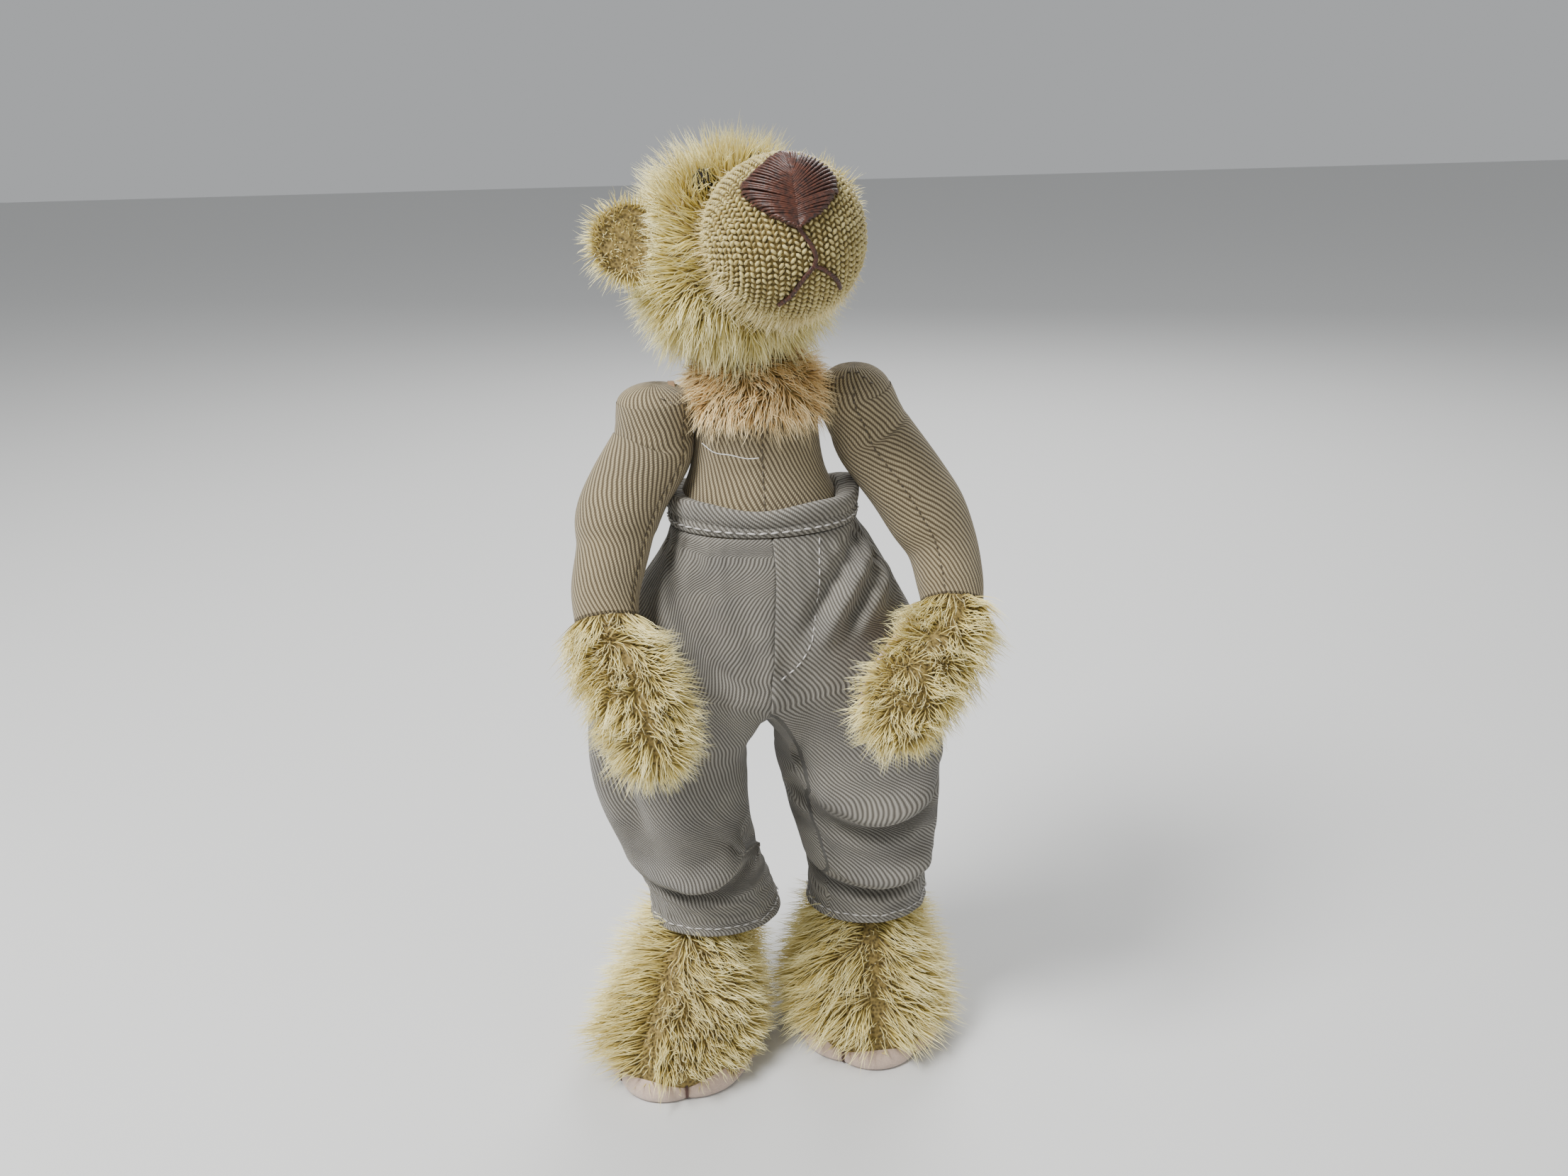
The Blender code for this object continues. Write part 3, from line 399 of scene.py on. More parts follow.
def grainTree():
    tree, given = newTree("WovenGrains", [
        ("Long", "Float", 0.00075), ("Wide", "Float", 0.00034), ("Thick", "Float", 0.00034),
        ("Seed", "Int", 2), ("Material", "Material", None),
    ])
    seed = given["Seed"]
    grain = put(tree, "GeometryNodeMeshUVSphere", {"Segments": 6, "Rings": 4, "Radius": 1.0}).outputs[0]
    turn = put(
        tree, "FunctionNodeAlignRotationToVector", {"Vector": named(tree, "outward", "FLOAT_VECTOR")},
        axis="Z",
    ).outputs[0]
    turn = put(tree, "FunctionNodeAlignRotationToVector", {
        "Rotation": turn, "Vector": named(tree, "lay", "FLOAT_VECTOR"),
    }, axis="X", pivot_axis="Z").outputs[0]
    grow = between(tree, 0.75, 1.2, seed, salt=7)
    size = xyz(tree, X=given["Long"], Y=given["Wide"], Z=given["Thick"])
    dots = remember(tree, given["Geometry"], "tone", between(tree, 0.0, 1.0, seed, salt=9))
    placed = put(tree, "GeometryNodeInstanceOnPoints", {
        "Points": dots, "Instance": grain, "Rotation": turn,
        "Scale": scaled(tree, size, grow),
    })
    real = put(tree, "GeometryNodeRealizeInstances", {0: placed.outputs[0]}).outputs[0]
    smooth = put(tree, "GeometryNodeSetShadeSmooth", {"Geometry": real}).outputs[0]
    return deliver(tree, smooth, given["Material"])


def grown(name, base, tree, values):
    modifier = base.modifiers.new("grow", "NODES")
    modifier.node_group = tree
    for item in tree.interface.items_tree:
        if item.item_type == "SOCKET" and item.in_out == "INPUT" and item.name in values:
            modifier[item.identifier] = values[item.name]
    bpy.context.view_layer.update()
    mesh = bpy.data.meshes.new_from_object(base.evaluated_get(bpy.context.evaluated_depsgraph_get()))
    base.modifiers.remove(modifier)
    mesh.name = name
    obj = bpy.data.objects.new(name, mesh)
    bpy.context.scene.collection.objects.link(obj)
    return obj


def cellPerStrand(obj, loopsEach=36):
    # the bake map gets one small cell per strand
    layer = obj.data.uv_layers.get("OFBake")
    uv = np.empty(len(layer.data) * 2, np.float32)
    layer.data.foreach_get("uv", uv)
    uv = uv.reshape(-1, 2)
    strand = np.arange(len(uv)) // loopsEach
    grid = math.ceil(math.sqrt(strand[-1] + 1))
    cell = np.stack([strand % grid, strand // grid], 1)
    layer.data.foreach_set("uv", ((cell + 0.08 + 0.84 * uv) / grid).astype(np.float32).ravel())


def fromPaths(name, paths, tree, values):
    base = polyline(name + "_path", paths)
    obj = grown(name, base, tree, values)
    bpy.data.objects.remove(base)
    return obj


fur, thread, stitches, grains = furTree(), threadTree(), stitchTree(), grainTree()
print("node trees ready")


def principled(name, color, roughness, **uniform):
    material = bpy.data.materials.new(name)
    material.use_nodes = True
    tree = material.node_tree
    shader = tree.nodes["Principled BSDF"]
    shader.inputs["Base Color"].default_value = (*color, 1)
    shader.inputs["Roughness"].default_value = roughness
    for key, value in uniform.items():
        shader.inputs[key.replace("_", " ").title()].default_value = value
    return material, tree, shader


def ramp(tree, value, stops):
    made = tree.nodes.new("ShaderNodeValToRGB")
    while len(made.color_ramp.elements) < len(stops):
        made.color_ramp.elements.new(0.5)
    for element, (at, color) in zip(made.color_ramp.elements, stops):
        element.position = at
        element.color = (*color, 1)
    tree.links.new(value, made.inputs[0])
    return made.outputs[0]


def mixed(tree, kind, factor, a, b):
    made = tree.nodes.new("ShaderNodeMix")
    made.data_type = "RGBA"
    made.blend_type = kind
    for socket, value in zip((made.inputs[0], made.inputs[6], made.inputs[7]), (factor, a, b)):
        if isinstance(value, bpy.types.NodeSocket):
            tree.links.new(value, socket)
        else:
            socket.default_value = value
    return made.outputs[2]


def bump(tree, shader, height, distance, strength=1.0):
    made = put(tree, "ShaderNodeBump", {"Height": height, "Distance": distance, "Strength": strength})
    tree.links.new(made.outputs[0], shader.inputs["Normal"])


def twillMaterial(name, shadedValley, rib, litRibTop, pitch, angle):
    material, tree, shader = principled(name, rib, 0.88, sheen_weight=0.12, sheen_roughness=0.5)
    uv = put(tree, "ShaderNodeUVMap", uv_map="Cloth").outputs[0]
    wobble = put(tree, "ShaderNodeTexNoise", {"Vector": uv, "Scale": 260.0, "Detail": 1.0})
    shift = scaled(tree, vector1(tree, "SUBTRACT", wobble.outputs["Color"], (0.5, 0.5, 0.5)), 0.0005)
    cloth = plus(tree, uv, shift)
    ribs = put(
        tree, "ShaderNodeMapping", {"Vector": cloth, "Rotation": (0, 0, angle), "Scale": (1 / pitch,) * 3},
    )
    yarns = put(
        tree, "ShaderNodeMapping",
        {"Vector": cloth, "Rotation": (0, 0, angle + 1.05), "Scale": (2.2 / pitch,) * 3},
    )
    bands = put(tree, "ShaderNodeTexWave", {"Vector": ribs.outputs[0], "Scale": 0.31416}).outputs["Fac"]
    twist = put(tree, "ShaderNodeTexWave", {"Vector": yarns.outputs[0], "Scale": 0.31416}).outputs["Fac"]
    fine = noise1(tree, uv, 5200.0, 2.0)
    broad = noise1(tree, uv, 90.0, 3.0)
    height = math1(tree, "MULTIPLY_ADD", times(tree, bands, twist), 0.5, times(tree, bands, 0.6))
    height = math1(tree, "MULTIPLY_ADD", fine, 0.25, height)
    # colour follows the weave's height: painted shade in the valleys, painted highlight on the rib tops
    color = ramp(tree, height, [(0.12, shadedValley), (0.55, rib), (1.0, litRibTop)])
    fade = ramp(tree, broad, [(0.3, (0.86, 0.86, 0.87)), (0.7, (1.08, 1.07, 1.04))])
    tree.links.new(mixed(tree, "MULTIPLY", 1.0, color, fade), shader.inputs["Base Color"])
    bump(tree, shader, height, 0.00022, 0.9)
    return material


def furMaterial(name, root, middle, tip):
    material, tree, shader = principled(name, middle, 0.5, sheen_weight=0.35, sheen_roughness=0.4)
    along = put(tree, "ShaderNodeAttribute", attribute_name="along").outputs["Fac"]
    tone = put(tree, "ShaderNodeAttribute", attribute_name="tone").outputs["Fac"]
    # darker towards the root: painted shade deep in the pile
    color = ramp(tree, along, [(0.0, root), (0.34, middle), (0.95, tip)])
    vary = ramp(tree, tone, [(0.0, (0.78, 0.72, 0.60)), (0.5, (0.98, 0.96, 0.92)), (1.0, (1.1, 1.1, 1.1))])
    tree.links.new(mixed(tree, "MULTIPLY", 1.0, color, vary), shader.inputs["Base Color"])
    return material


def backingMaterial(name, dark, light, scale):
    material, tree, shader = principled(name, light, 0.9)
    place = objectPlace(tree)
    cells = put(tree, "ShaderNodeTexVoronoi", {"Vector": place, "Scale": scale}).outputs["Distance"]
    blur = noise1(tree, place, 0.3 * scale, 3.0)
    height = math1(tree, "MULTIPLY_ADD", cells, 0.7, times(tree, blur, 0.4))
    tree.links.new(ramp(tree, height, [(0.25, dark), (0.75, light)]), shader.inputs["Base Color"])
    bump(tree, shader, height, 0.0003, 0.8)
    return material


def feltMaterial(name, color):
    material, tree, shader = principled(name, color, 0.95, sheen_weight=0.5, sheen_roughness=0.6)
    place = objectPlace(tree)
    fuzz = noise1(tree, place, 2600.0, 4.0, Roughness=0.7)
    blot = noise1(tree, place, 240.0, 2.0)
    dark = tuple(0.8 * c for c in color)
    light = tuple(min(1, 1.12 * c) for c in color)
    both = math1(tree, "MULTIPLY_ADD", blot, 0.5, times(tree, fuzz, 0.5))
    tree.links.new(ramp(tree, both, [(0.35, dark), (0.65, light)]), shader.inputs["Base Color"])
    bump(tree, shader, fuzz, 0.00025, 0.7)
    return material


def threadMaterial(name, dark, light, roughness=0.55):
    material, tree, shader = principled(name, light, roughness, sheen_weight=0.08)
    place = objectPlace(tree)
    streak = noise1(tree, place, 1400.0, 3.0)
    tree.links.new(ramp(tree, streak, [(0.3, dark), (0.72, light)]), shader.inputs["Base Color"])
    bump(tree, shader, streak, 0.00012, 0.8)
    return material


def plainMaterial(name, color, roughness, metallic=0.0):
    material, tree, shader = principled(name, color, roughness, metallic=metallic)
    place = objectPlace(tree)
    grain = noise1(tree, place, 900.0, 3.0)
    low, high = tuple(0.85 * c for c in color), tuple(min(1, 1.1 * c) for c in color)
    tree.links.new(ramp(tree, grain, [(0.35, low), (0.65, high)]), shader.inputs["Base Color"])
    return material


tanYarns = (0.055, 0.038, 0.018), (0.24, 0.19, 0.105), (0.43, 0.36, 0.22)  # shaded valley with painted shade, rib, lit rib top with painted highlight
greyYarns = (0.065, 0.058, 0.047), (0.19, 0.175, 0.148), (0.34, 0.325, 0.285)
tanTwill = twillMaterial("TanTwill", *tanYarns, 0.00083, -0.42)
greyTwill = twillMaterial("GreyTwill", *greyYarns, 0.00078, -0.78)
greyTwillSteep = twillMaterial("GreyTwillSteep", *greyYarns, 0.00078, -0.42)
paleFur = furMaterial("PaleMohair", (0.42, 0.32, 0.08), (0.80, 0.70, 0.26), (0.98, 0.95, 0.60))
warmFur = furMaterial("CollarMohair", (0.26, 0.15, 0.035), (0.80, 0.57, 0.25), (0.98, 0.84, 0.52))
footFur = furMaterial("FootMohair", (0.26, 0.19, 0.04), (0.76, 0.64, 0.22), (0.98, 0.93, 0.55))
clippedFur = furMaterial("ClippedMohair", (0.36, 0.28, 0.08), (0.72, 0.61, 0.27), (0.93, 0.86, 0.56))
# dark olive backing under the fur: painted shade deep in the pile showing between strands
shadeBacking = backingMaterial("Backing", (0.05, 0.033, 0.008), (0.27, 0.195, 0.06), 1500.0)
grainFinish = furMaterial("BackingLoops", (0.50, 0.42, 0.17), (0.62, 0.54, 0.26), (0.78, 0.72, 0.42))
felt = feltMaterial("Felt", (0.56, 0.41, 0.32))
noseThread = threadMaterial("NoseThread", (0.018, 0.005, 0.0025), (0.10, 0.026, 0.010), 0.45)
darkThread = threadMaterial("DarkThread", (0.03, 0.012, 0.009), (0.10, 0.04, 0.03))
paleThread = threadMaterial("PaleThread", (0.36, 0.34, 0.32), (0.62, 0.60, 0.57))
seamThread = threadMaterial("SeamThread", (0.035, 0.026, 0.014), (0.13, 0.10, 0.06))
whiteThread = threadMaterial("WhiteThread", (0.6, 0.6, 0.58), (0.85, 0.85, 0.83))
board = plainMaterial("FibreBoard", (0.32, 0.20, 0.11), 0.8)
steel = plainMaterial("ZincSteel", (0.6, 0.6, 0.6), 0.32, 1.0)
glass = plainMaterial("EyeGlass", (0.012, 0.01, 0.01), 0.06)
finishOfSlot = {
    "fibre_board": board, "zinc_steel": steel, "black_glass": glass, "tan_twill": tanTwill,
    "grey_twill": greyTwill,
    "felt": felt, "brown_thread": noseThread,
}
for entry in frame["record"]["subparts"]:
    node = frame["nodes"][entry["node"]]
    node.data.materials.clear()
    node.data.materials.append(finishOfSlot.get(entry["material_slot"], shadeBacking))
print("materials ready")


def worn(obj, body, slot, *nodes, fill=None):
    if nodes:
        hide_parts(*nodes)
    if body:
        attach(obj, body)
    return obj


def sewn(name, path, look, body, slot):
    return worn(fromPaths(name, [path], stitches, look), body, slot)


def fleece(name, base, body, slot, look, pile, comb, reach=1.0):
    # grows fur on a skin; pile and reach are shares per point, comb is the way it lies
    count = len(base.data.vertices)
    giveValues(base, "pile", np.broadcast_to(pile, count))
    giveValues(base, "reach", np.broadcast_to(reach, count))
    giveValues(base, "comb", comb)
    obj = grown(name, base, fur, look)
    for attribute in ("pile", "reach", "comb"):
        base.data.attributes.remove(base.data.attributes[attribute])
    cellPerStrand(obj)
    strands = pointsOf(obj)
    low = np.clip(0.4 * mm - strands[:, 2], 0, None)  # strands that reach the ground lie along it
    strands[:, 2] += low - 0.04 * np.minimum(low, 4 * mm)
    obj.data.vertices.foreach_set("co", strands.astype(np.float32).ravel())
    print(name, len(obj.data.polygons) // 10, "strands")
    return worn(obj, body, slot)


bodyLook = {
    "around": 96, "rings": 120,
    "rows": [  # share of the height, of the half width and of the half depth
        (0, 0.30, 0.34), (0.022, 0.48, 0.55), (0.08, 0.68, 0.80), (0.14, 0.80, 0.91), (0.23, 0.92, 0.98),
        (0.33, 1, 1),
        (0.45, 1, 0.96), (0.58, 0.96, 0.86), (0.68, 0.859, 0.78), (0.79, 0.803, 0.742), (0.875, 0.795, 0.72),
        (0.935, 0.73, 0.675), (0.978, 0.586, 0.564), (1, 0.40, 0.393),
    ],
    "yokeFrom": 0.85, "yokeSwell": 0.5 * mm, "waistSwell": 1.5 * mm, "waistAt": 0.53,
}
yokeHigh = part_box("chest_yoke")[1].z
bodyTall = yokeHigh - torsoLow.z
bodyWide, bodyDeep = (torsoHigh.x - torsoLow.x) / 2, (torsoHigh.y - torsoLow.y) / 2


def bodyRows(first, last, swell, count):
    shares = smoothRows(bodyLook["rows"], 400)
    at = np.linspace(first, last, count)
    wide = np.interp(at, shares[:, 0], shares[:, 1]) * bodyWide + swell
    deep = np.interp(at, shares[:, 0], shares[:, 2]) * bodyDeep + swell
    waist = bodyLook["waistSwell"] * hill((at - bodyLook["waistAt"]) / 0.10)
    flat = np.zeros(count)
    return np.stack(
        [flat + bodyMiddle[0], flat + bodyMiddle[1], torsoLow.z + at * bodyTall, wide + waist, deep + waist],
        1,
    )


def seamGroove(places, depth, width):
    def swell(share, angle):
        total = 0 * share * angle
        for at in places:
            away = (angle - at + math.pi) % (2 * math.pi) - math.pi
            total = total - depth * hill(away / width) + 0.6 * depth * hill(away / width / 2.4)
        return total
    return swell


frontAngle = 1.5 * math.pi
bodyRings = tubeRings(
    bodyRows(0, 1, 0, bodyLook["rings"]), bodyLook["around"], seamGroove([frontAngle], 0.05, 0.04),
)
torsoSkin = skinFromRings("torso_skin", bodyRings, tanTwill)
worn(torsoSkin, "torso", "tan_twill", "torso_cover", "torso_stuffing", fill=0.9)
frontLine = bodyRings[18:100, int(bodyLook["around"] * 0.75)] + np.array([0, -0.12 * mm, 0])
sewn("torso_seam", frontLine, {
    "Pitch": 1.4 * mm, "Stitch": 1.2 * mm, "Radius": 0.19 * mm, "Slant": 0.35, "Seed": 4,
    "Material": seamThread,
}, "torso", "tan_twill")
yokeRings = tubeRings(bodyRows(bodyLook["yokeFrom"], 1, bodyLook["yokeSwell"], 30), 96)
yoke = skinFromRings("yoke_skin", yokeRings, shadeBacking)
yokePoints = pointsOf(yoke)
outward = unit((yokePoints - bodyMiddle) * [1, 1, 0])
yokeFurLook = {
    "Spacing": 0.40 * mm, "Length": 6.0 * mm, "Length spread": 0.5, "Width": 0.15 * mm, "Lean": 0.8,
    "Clump size": 2.4 * mm, "Clump pull": 0.75, "Tousle": 0.9, "Stray": 0.3, "Droop": 0.2, "Wave": 0.6 * mm,
    "Seed": 21, "Material": warmFur,
}
yokeComb = unit(outward * 0.55 + np.array([0, 0, -1.0])) * 0.9
fleece("yoke_fur", yoke, "torso", "cream_mohair", yokeFurLook, 1.0, yokeComb)
strayThread = [
    (-11.4, -9.2, 137.4), (-9.2, -10.2, 135.7), (-6.2, -10.9, 135.2), (-3.2, -11.0, 134.4),
    (-0.8, -11.1, 134.4),
]
stray = fromPaths("stray_thread", [smoothRows(np.array(strayThread) * mm + bodyMiddle, 30)], thread, {
    "Radius": 0.09 * mm, "Sides": 5, "Material": whiteThread,
})
worn(stray, "torso", "tan_twill")
worn(yoke, "torso", "cream_mohair", "chest_yoke", fill=0.8)
print("body done")


headLow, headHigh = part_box("head_cover")
headMiddle = (np.array(headLow) + np.array(headHigh)) / 2
headRadius = (headHigh.z - headLow.z) / 2
muzzleLow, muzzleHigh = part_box("muzzle_cover")
muzzleRadius = (muzzleHigh.z - muzzleLow.z) / 2
muzzleMiddle = np.array(
    [muzzleHigh.x - muzzleRadius, muzzleLow.y + muzzleRadius, (muzzleLow.z + muzzleHigh.z) / 2]
)
headLook = {"Z": 9.6, "X": -28, "Y": -9.9}  # turn to the left, nod back, lean
turns = [Matrix.Rotation(math.radians(angle), 3, axis) for axis, angle in headLook.items()]
headTurn = np.array(turns[0] @ turns[1] @ turns[2])  # columns: the bear's left, its back, up
muzzleWay = unit(muzzleMiddle - headMiddle)


def faceWay(side, rise):
    a, e = math.radians(side), math.radians(rise)
    return headTurn @ np.array([math.sin(a) * math.cos(e), -math.cos(a) * math.cos(e), math.sin(e)])


headSkin = ballSkin("head_skin", headMiddle, [headRadius] * 3, shadeBacking)
headPoints = pointsOf(headSkin)
headNormal = unit(headPoints - headMiddle)
nearMuzzle = np.linalg.norm(headPoints - muzzleMiddle, axis=1) - muzzleRadius
backSweep = unit(np.cross(np.cross(headNormal, -muzzleWay), headNormal) + 1e-6)
low = np.clip((-0.1 - headNormal[:, 2]) / 0.5, 0, 1)[:, None]
headComb = backSweep * (1 - low) * 0.7 + np.array([0, 0.1, -1.0]) * low * 1.2
headComb = headComb + np.array([0, -0.2, 0.35]) * (1 - low)
for side in sides:  # the fur near the eyes lies forward over them
    eyeLow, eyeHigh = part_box(f"eye_{side}")
    fromEye = np.linalg.norm(headPoints - (np.array(eyeLow) + np.array(eyeHigh)) / 2, axis=1)
    headComb = headComb + hill(fromEye / (5.5 * mm))[:, None] * (muzzleWay - 0.2 * headComb) * 1.5
earClear = np.ones(len(headPoints))
for sign in sides.values():
    earMiddle = headMiddle + headTurn @ np.array([sign * 0.956, -0.12, 0.292]) * headRadius
    fromEar = np.linalg.norm(headPoints - earMiddle, axis=1)
    earClear = np.minimum(earClear, np.clip(fromEar / (11 * mm), 0.18, 1) ** 1.6)
headFurLook = {
    "Spacing": 0.47 * mm, "Length": 8.6 * mm, "Length spread": 0.45, "Width": 0.17 * mm, "Lean": 0.5,
    "Clump size": 2.7 * mm, "Clump pull": 0.85, "Tousle": 0.75, "Stray": 0.2, "Droop": 0.05,
    "Wave": 0.6 * mm, "Seed": 5, "Material": paleFur,
}
headPile = (nearMuzzle > -0.2 * mm).astype(float)
headReach = (0.8 + 0.2 * np.clip(nearMuzzle / (6 * mm), 0, 1)) * earClear
fleece("head_fur", headSkin, "head", "pale_mohair", headFurLook, headPile, headComb, headReach)
worn(headSkin, "head", "pale_mohair", "head_cover", "head_stuffing", fill=0.9)

muzzleSkin = ballSkin("muzzle_skin", muzzleMiddle, [muzzleRadius - 0.15 * mm] * 3, shadeBacking)
muzzlePoints = pointsOf(muzzleSkin)
muzzleNormal = unit(muzzlePoints - muzzleMiddle)
noseMiddle = np.array([-3.4, 16.5])  # degrees to the left and up
noseWay = faceWay(*noseMiddle)
toNose = np.degrees(np.arccos(np.clip(muzzleNormal @ noseWay, -1, 1)))
outsideHead = np.linalg.norm(muzzlePoints - headMiddle, axis=1) - headRadius
underNose = toNose < 30
frontness = muzzleNormal @ faceWay(4, 2)
longer = np.clip((0.25 - frontness) / 0.7, 0, 1)
towardHead = unit(np.cross(np.cross(muzzleNormal, -muzzleWay), muzzleNormal) + 1e-6)
muzzleFurLook = {
    "Spacing": 0.56 * mm, "Length": 6.2 * mm, "Length spread": 0.45, "Width": 0.13 * mm, "Lean": 1.0,
    "Clump size": 1.6 * mm, "Clump pull": 0.35, "Tousle": 0.5, "Stray": 0.35, "Droop": 0.0,
    "Wave": 0.25 * mm, "Seed": 8, "Material": clippedFur,
}
muzzlePile = (outsideHead > -0.3 * mm) * (~underNose) * np.clip(0.12 + 1.6 * longer, 0, 1)
fleece(
    "muzzle_fur", muzzleSkin, "head", "clipped_mohair", muzzleFurLook, muzzlePile, towardHead,
    0.2 + 0.8 * longer,
)
worn(muzzleSkin, "head", "clipped_mohair", "muzzle_cover", "muzzle_stuffing", fill=1.0)

grainLook = {"row": 1.0 * mm, "step": 1.05 * mm, "slant": 0.75, "rise": 0.12 * mm}
seeds, normals, lays = [], [], []
frontPole, leftPole = faceWay(0, 4), headTurn[:, 0]
upPole = np.cross(frontPole, leftPole)
rowCount = int(math.pi * muzzleRadius / grainLook["row"])
for row in range(1, rowCount):
    polar = math.pi * row / rowCount
    ringLength = 2 * math.pi * muzzleRadius * math.sin(polar)
    count = max(3, int(ringLength / grainLook["step"]))
    for k in range(count):
        spin = 2 * math.pi * (k + 0.5 * (row % 2)) / count
        ringWay = frontPole * math.cos(spin) + upPole * math.sin(spin)
        normal = leftPole * math.cos(polar) + ringWay * math.sin(polar)
        place = muzzleMiddle + normal * (muzzleRadius + grainLook["rise"])
        if np.linalg.norm(place - headMiddle) < headRadius or normal @ noseWay > math.cos(math.radians(27)):
            continue
        tangent = unit(-frontPole * math.sin(spin) + upPole * math.cos(spin))
        across = np.cross(normal, tangent)
        slant = grainLook["slant"] * (1 if row % 2 else -1)
        seeds.append(place)
        normals.append(normal)
        lays.append(tangent * math.cos(slant) + across * math.sin(slant))
weaveBase = newObject("weave_points", seeds, [])
giveValues(weaveBase, "outward", np.array(normals))
giveValues(weaveBase, "lay", np.array(lays))
weave = grown(
    "muzzle_weave", weaveBase, grains,
    {"Long": 0.6 * mm, "Wide": 0.31 * mm, "Thick": 0.42 * mm, "Material": grainFinish},
)
bpy.data.objects.remove(weaveBase)
worn(weave, "head", "clipped_mohair")
print("muzzle", len(seeds), "grains")

# satin stitched nose: threads run from the shield's edge down and in to the middle groove
noseLook = {"thick": 1.5 * mm, "radius": 0.24 * mm, "threads": 34}
groove = [(-9.7, -14.3), (-7.6, -3), (-5.5, 8.6), (-1.5, 22), (2.4, 35.4)]  # degrees to the left and up
shieldHalves = [
    [
        (-9.7, -14.3), (-18, -8), (-26.9, 0.9), (-35, 13), (-39.9, 26.1), (-33, 33), (-22.3, 38.5),
        (-10, 45), (0.5, 48),
    ],
    [
        (-9.7, -14.3), (0, -11.5), (10.4, -7.2), (21, 0), (28.9, 7.3), (34, 20.5), (30, 32), (23, 40.8),
        (11, 45.5), (0.5, 48),
    ],
]


def onMuzzle(angles, height):
    return muzzleMiddle + faceWay(*angles) * (muzzleRadius + height)


rng = np.random.default_rng(12)
grooveLine = smoothRows(groove, 200)
nosePaths = []
for half in shieldHalves:
    rim = smoothRows(half, 200)
    for layer in range(2):
        for k in range(noseLook["threads"]):
            share = (k + 0.5 * layer + 0.3) / noseLook["threads"]
            end = rim[int(min(share, 1) * 199)] + rng.normal(0, 0.5, 2)
            foot = grooveLine[int(min(1, 0.92 * share ** 1.2) * 199)]
            path = []
            for t in np.linspace(0, 1, 10):
                dome = noseLook["thick"] * (0.35 + 0.65 * math.sin(math.pi * min(1, 0.16 + 0.62 * t)))
                dome = dome * (1 - 0.75 * max(0, (t - 0.82) / 0.18) ** 2)
                high = dome * (0.55 + 0.45 * layer) + rng.normal(0, 0.03) * mm
                path.append(onMuzzle(foot * (1 - t) + end * t, high))
            nosePaths.append(path)
nose = fromPaths(
    "nose", nosePaths, thread, {"Radius": noseLook["radius"], "Sides": 6, "Material": noseThread},
)
padRows = []
outline = np.vstack([smoothRows(shieldHalves[0], 40)[:-1], smoothRows(shieldHalves[1], 40)[::-1][:-1]])
for scale, height in ((1.0, -0.3), (0.99, 0.25), (0.93, 0.75), (0.8, 1.1), (0.5, 1.2), (0.1, 1.0)):
    padRows.append([onMuzzle(noseMiddle + (p - noseMiddle) * scale, height * mm) for p in outline])
nosePad = skinFromRings("nose_pad", np.array(padRows), noseThread)
worn(nosePad, "head", "brown_thread", "nose_stitching", fill=0.8)
worn(nose, "head", "brown_thread")

mouthLook = {"rise": 0.45, "radius": 0.26, "lines": [
    [(-9.5, -13), (-8.5, -17), (-4, -26.5), (-1.2, -35), (-3.5, -41)],
    [(-3.5, -41), (-14.5, -47.5), (-35, -57), (-58, -59.5)],
    [(-3.5, -41), (6.6, -45.5), (25, -54), (40.5, -60.5)],
]}
mouthPaths = []
for angles in mouthLook["lines"]:
    line = smoothRows([onMuzzle(a, mouthLook["rise"] * mm) for a in angles], 60)
    turn = np.linspace(0, 34, 60)[:, None]
    for k in range(3):
        phase = turn + k * 2 * math.pi / 3
        mouthPaths.append(line + 0.2 * mm * (np.cos(phase) * headTurn[:, 0] + np.sin(phase) * headTurn[:, 2]))
mouth = fromPaths(
    "mouth", mouthPaths, thread, {"Radius": mouthLook["radius"] * mm, "Sides": 6, "Material": noseThread},
)
worn(mouth, "head", "brown_thread", "mouth_stitching")

earLook = {"radius": 7.4 * mm, "thick": 2.4 * mm, "angle": 17, "out": 0.32}
for side, sign in sides.items():
    a = math.radians(earLook["angle"])
    outWay = headTurn @ np.array([sign * math.cos(a), -0.13, math.sin(a)])
    centre = headMiddle + outWay * (headRadius + earLook["out"] * earLook["radius"])
    turn = Matrix([*map(list, headTurn)]).to_4x4()
    radii = (earLook["radius"], earLook["thick"], earLook["radius"])
    ear = ballSkin(f"ear_skin_{side}", centre, radii, shadeBacking, turn, 4)
    points = pointsOf(ear)
    local = (points - centre) @ headTurn
    flat = np.hypot(local[:, 0], local[:, 2]) / earLook["radius"]
    front = local[:, 1] < 0
    local[:, 1] += np.where(front, 1.9 * mm * (1 - flat**2), 0.5 * mm * (1 - flat**2))
    ear.data.vertices.foreach_set("co", (centre + local @ headTurn.T).astype(np.float32).ravel())
    ear.data.update()
    cleared = np.linalg.norm(points - headMiddle, axis=1) > headRadius
    spread = unit((local * [1, 0, 1]) @ headTurn.T + 1e-7)
    clipped = front & (flat < 0.82)
    earFurLook = {
        "Spacing": 0.42 * mm, "Length": 4.2 * mm, "Length spread": 0.5, "Width": 0.14 * mm, "Lean": 0.7,
        "Clump size": 1.9 * mm, "Clump pull": 0.6, "Tousle": 0.5, "Stray": 0.3, "Droop": 0.1,
        "Wave": 0.4 * mm, "Seed": 13, "Material": paleFur,
    }
    pile = cleared * np.where(clipped, 0.35, 1.0)
    fleece(
        f"ear_fur_{side}", ear, "head", "pale_mohair", earFurLook, pile, spread, np.where(clipped, 0.26, 1.0),
    )
    worn(ear, "head", "pale_mohair", f"ear_{side}", fill=0.5)
print("head done")


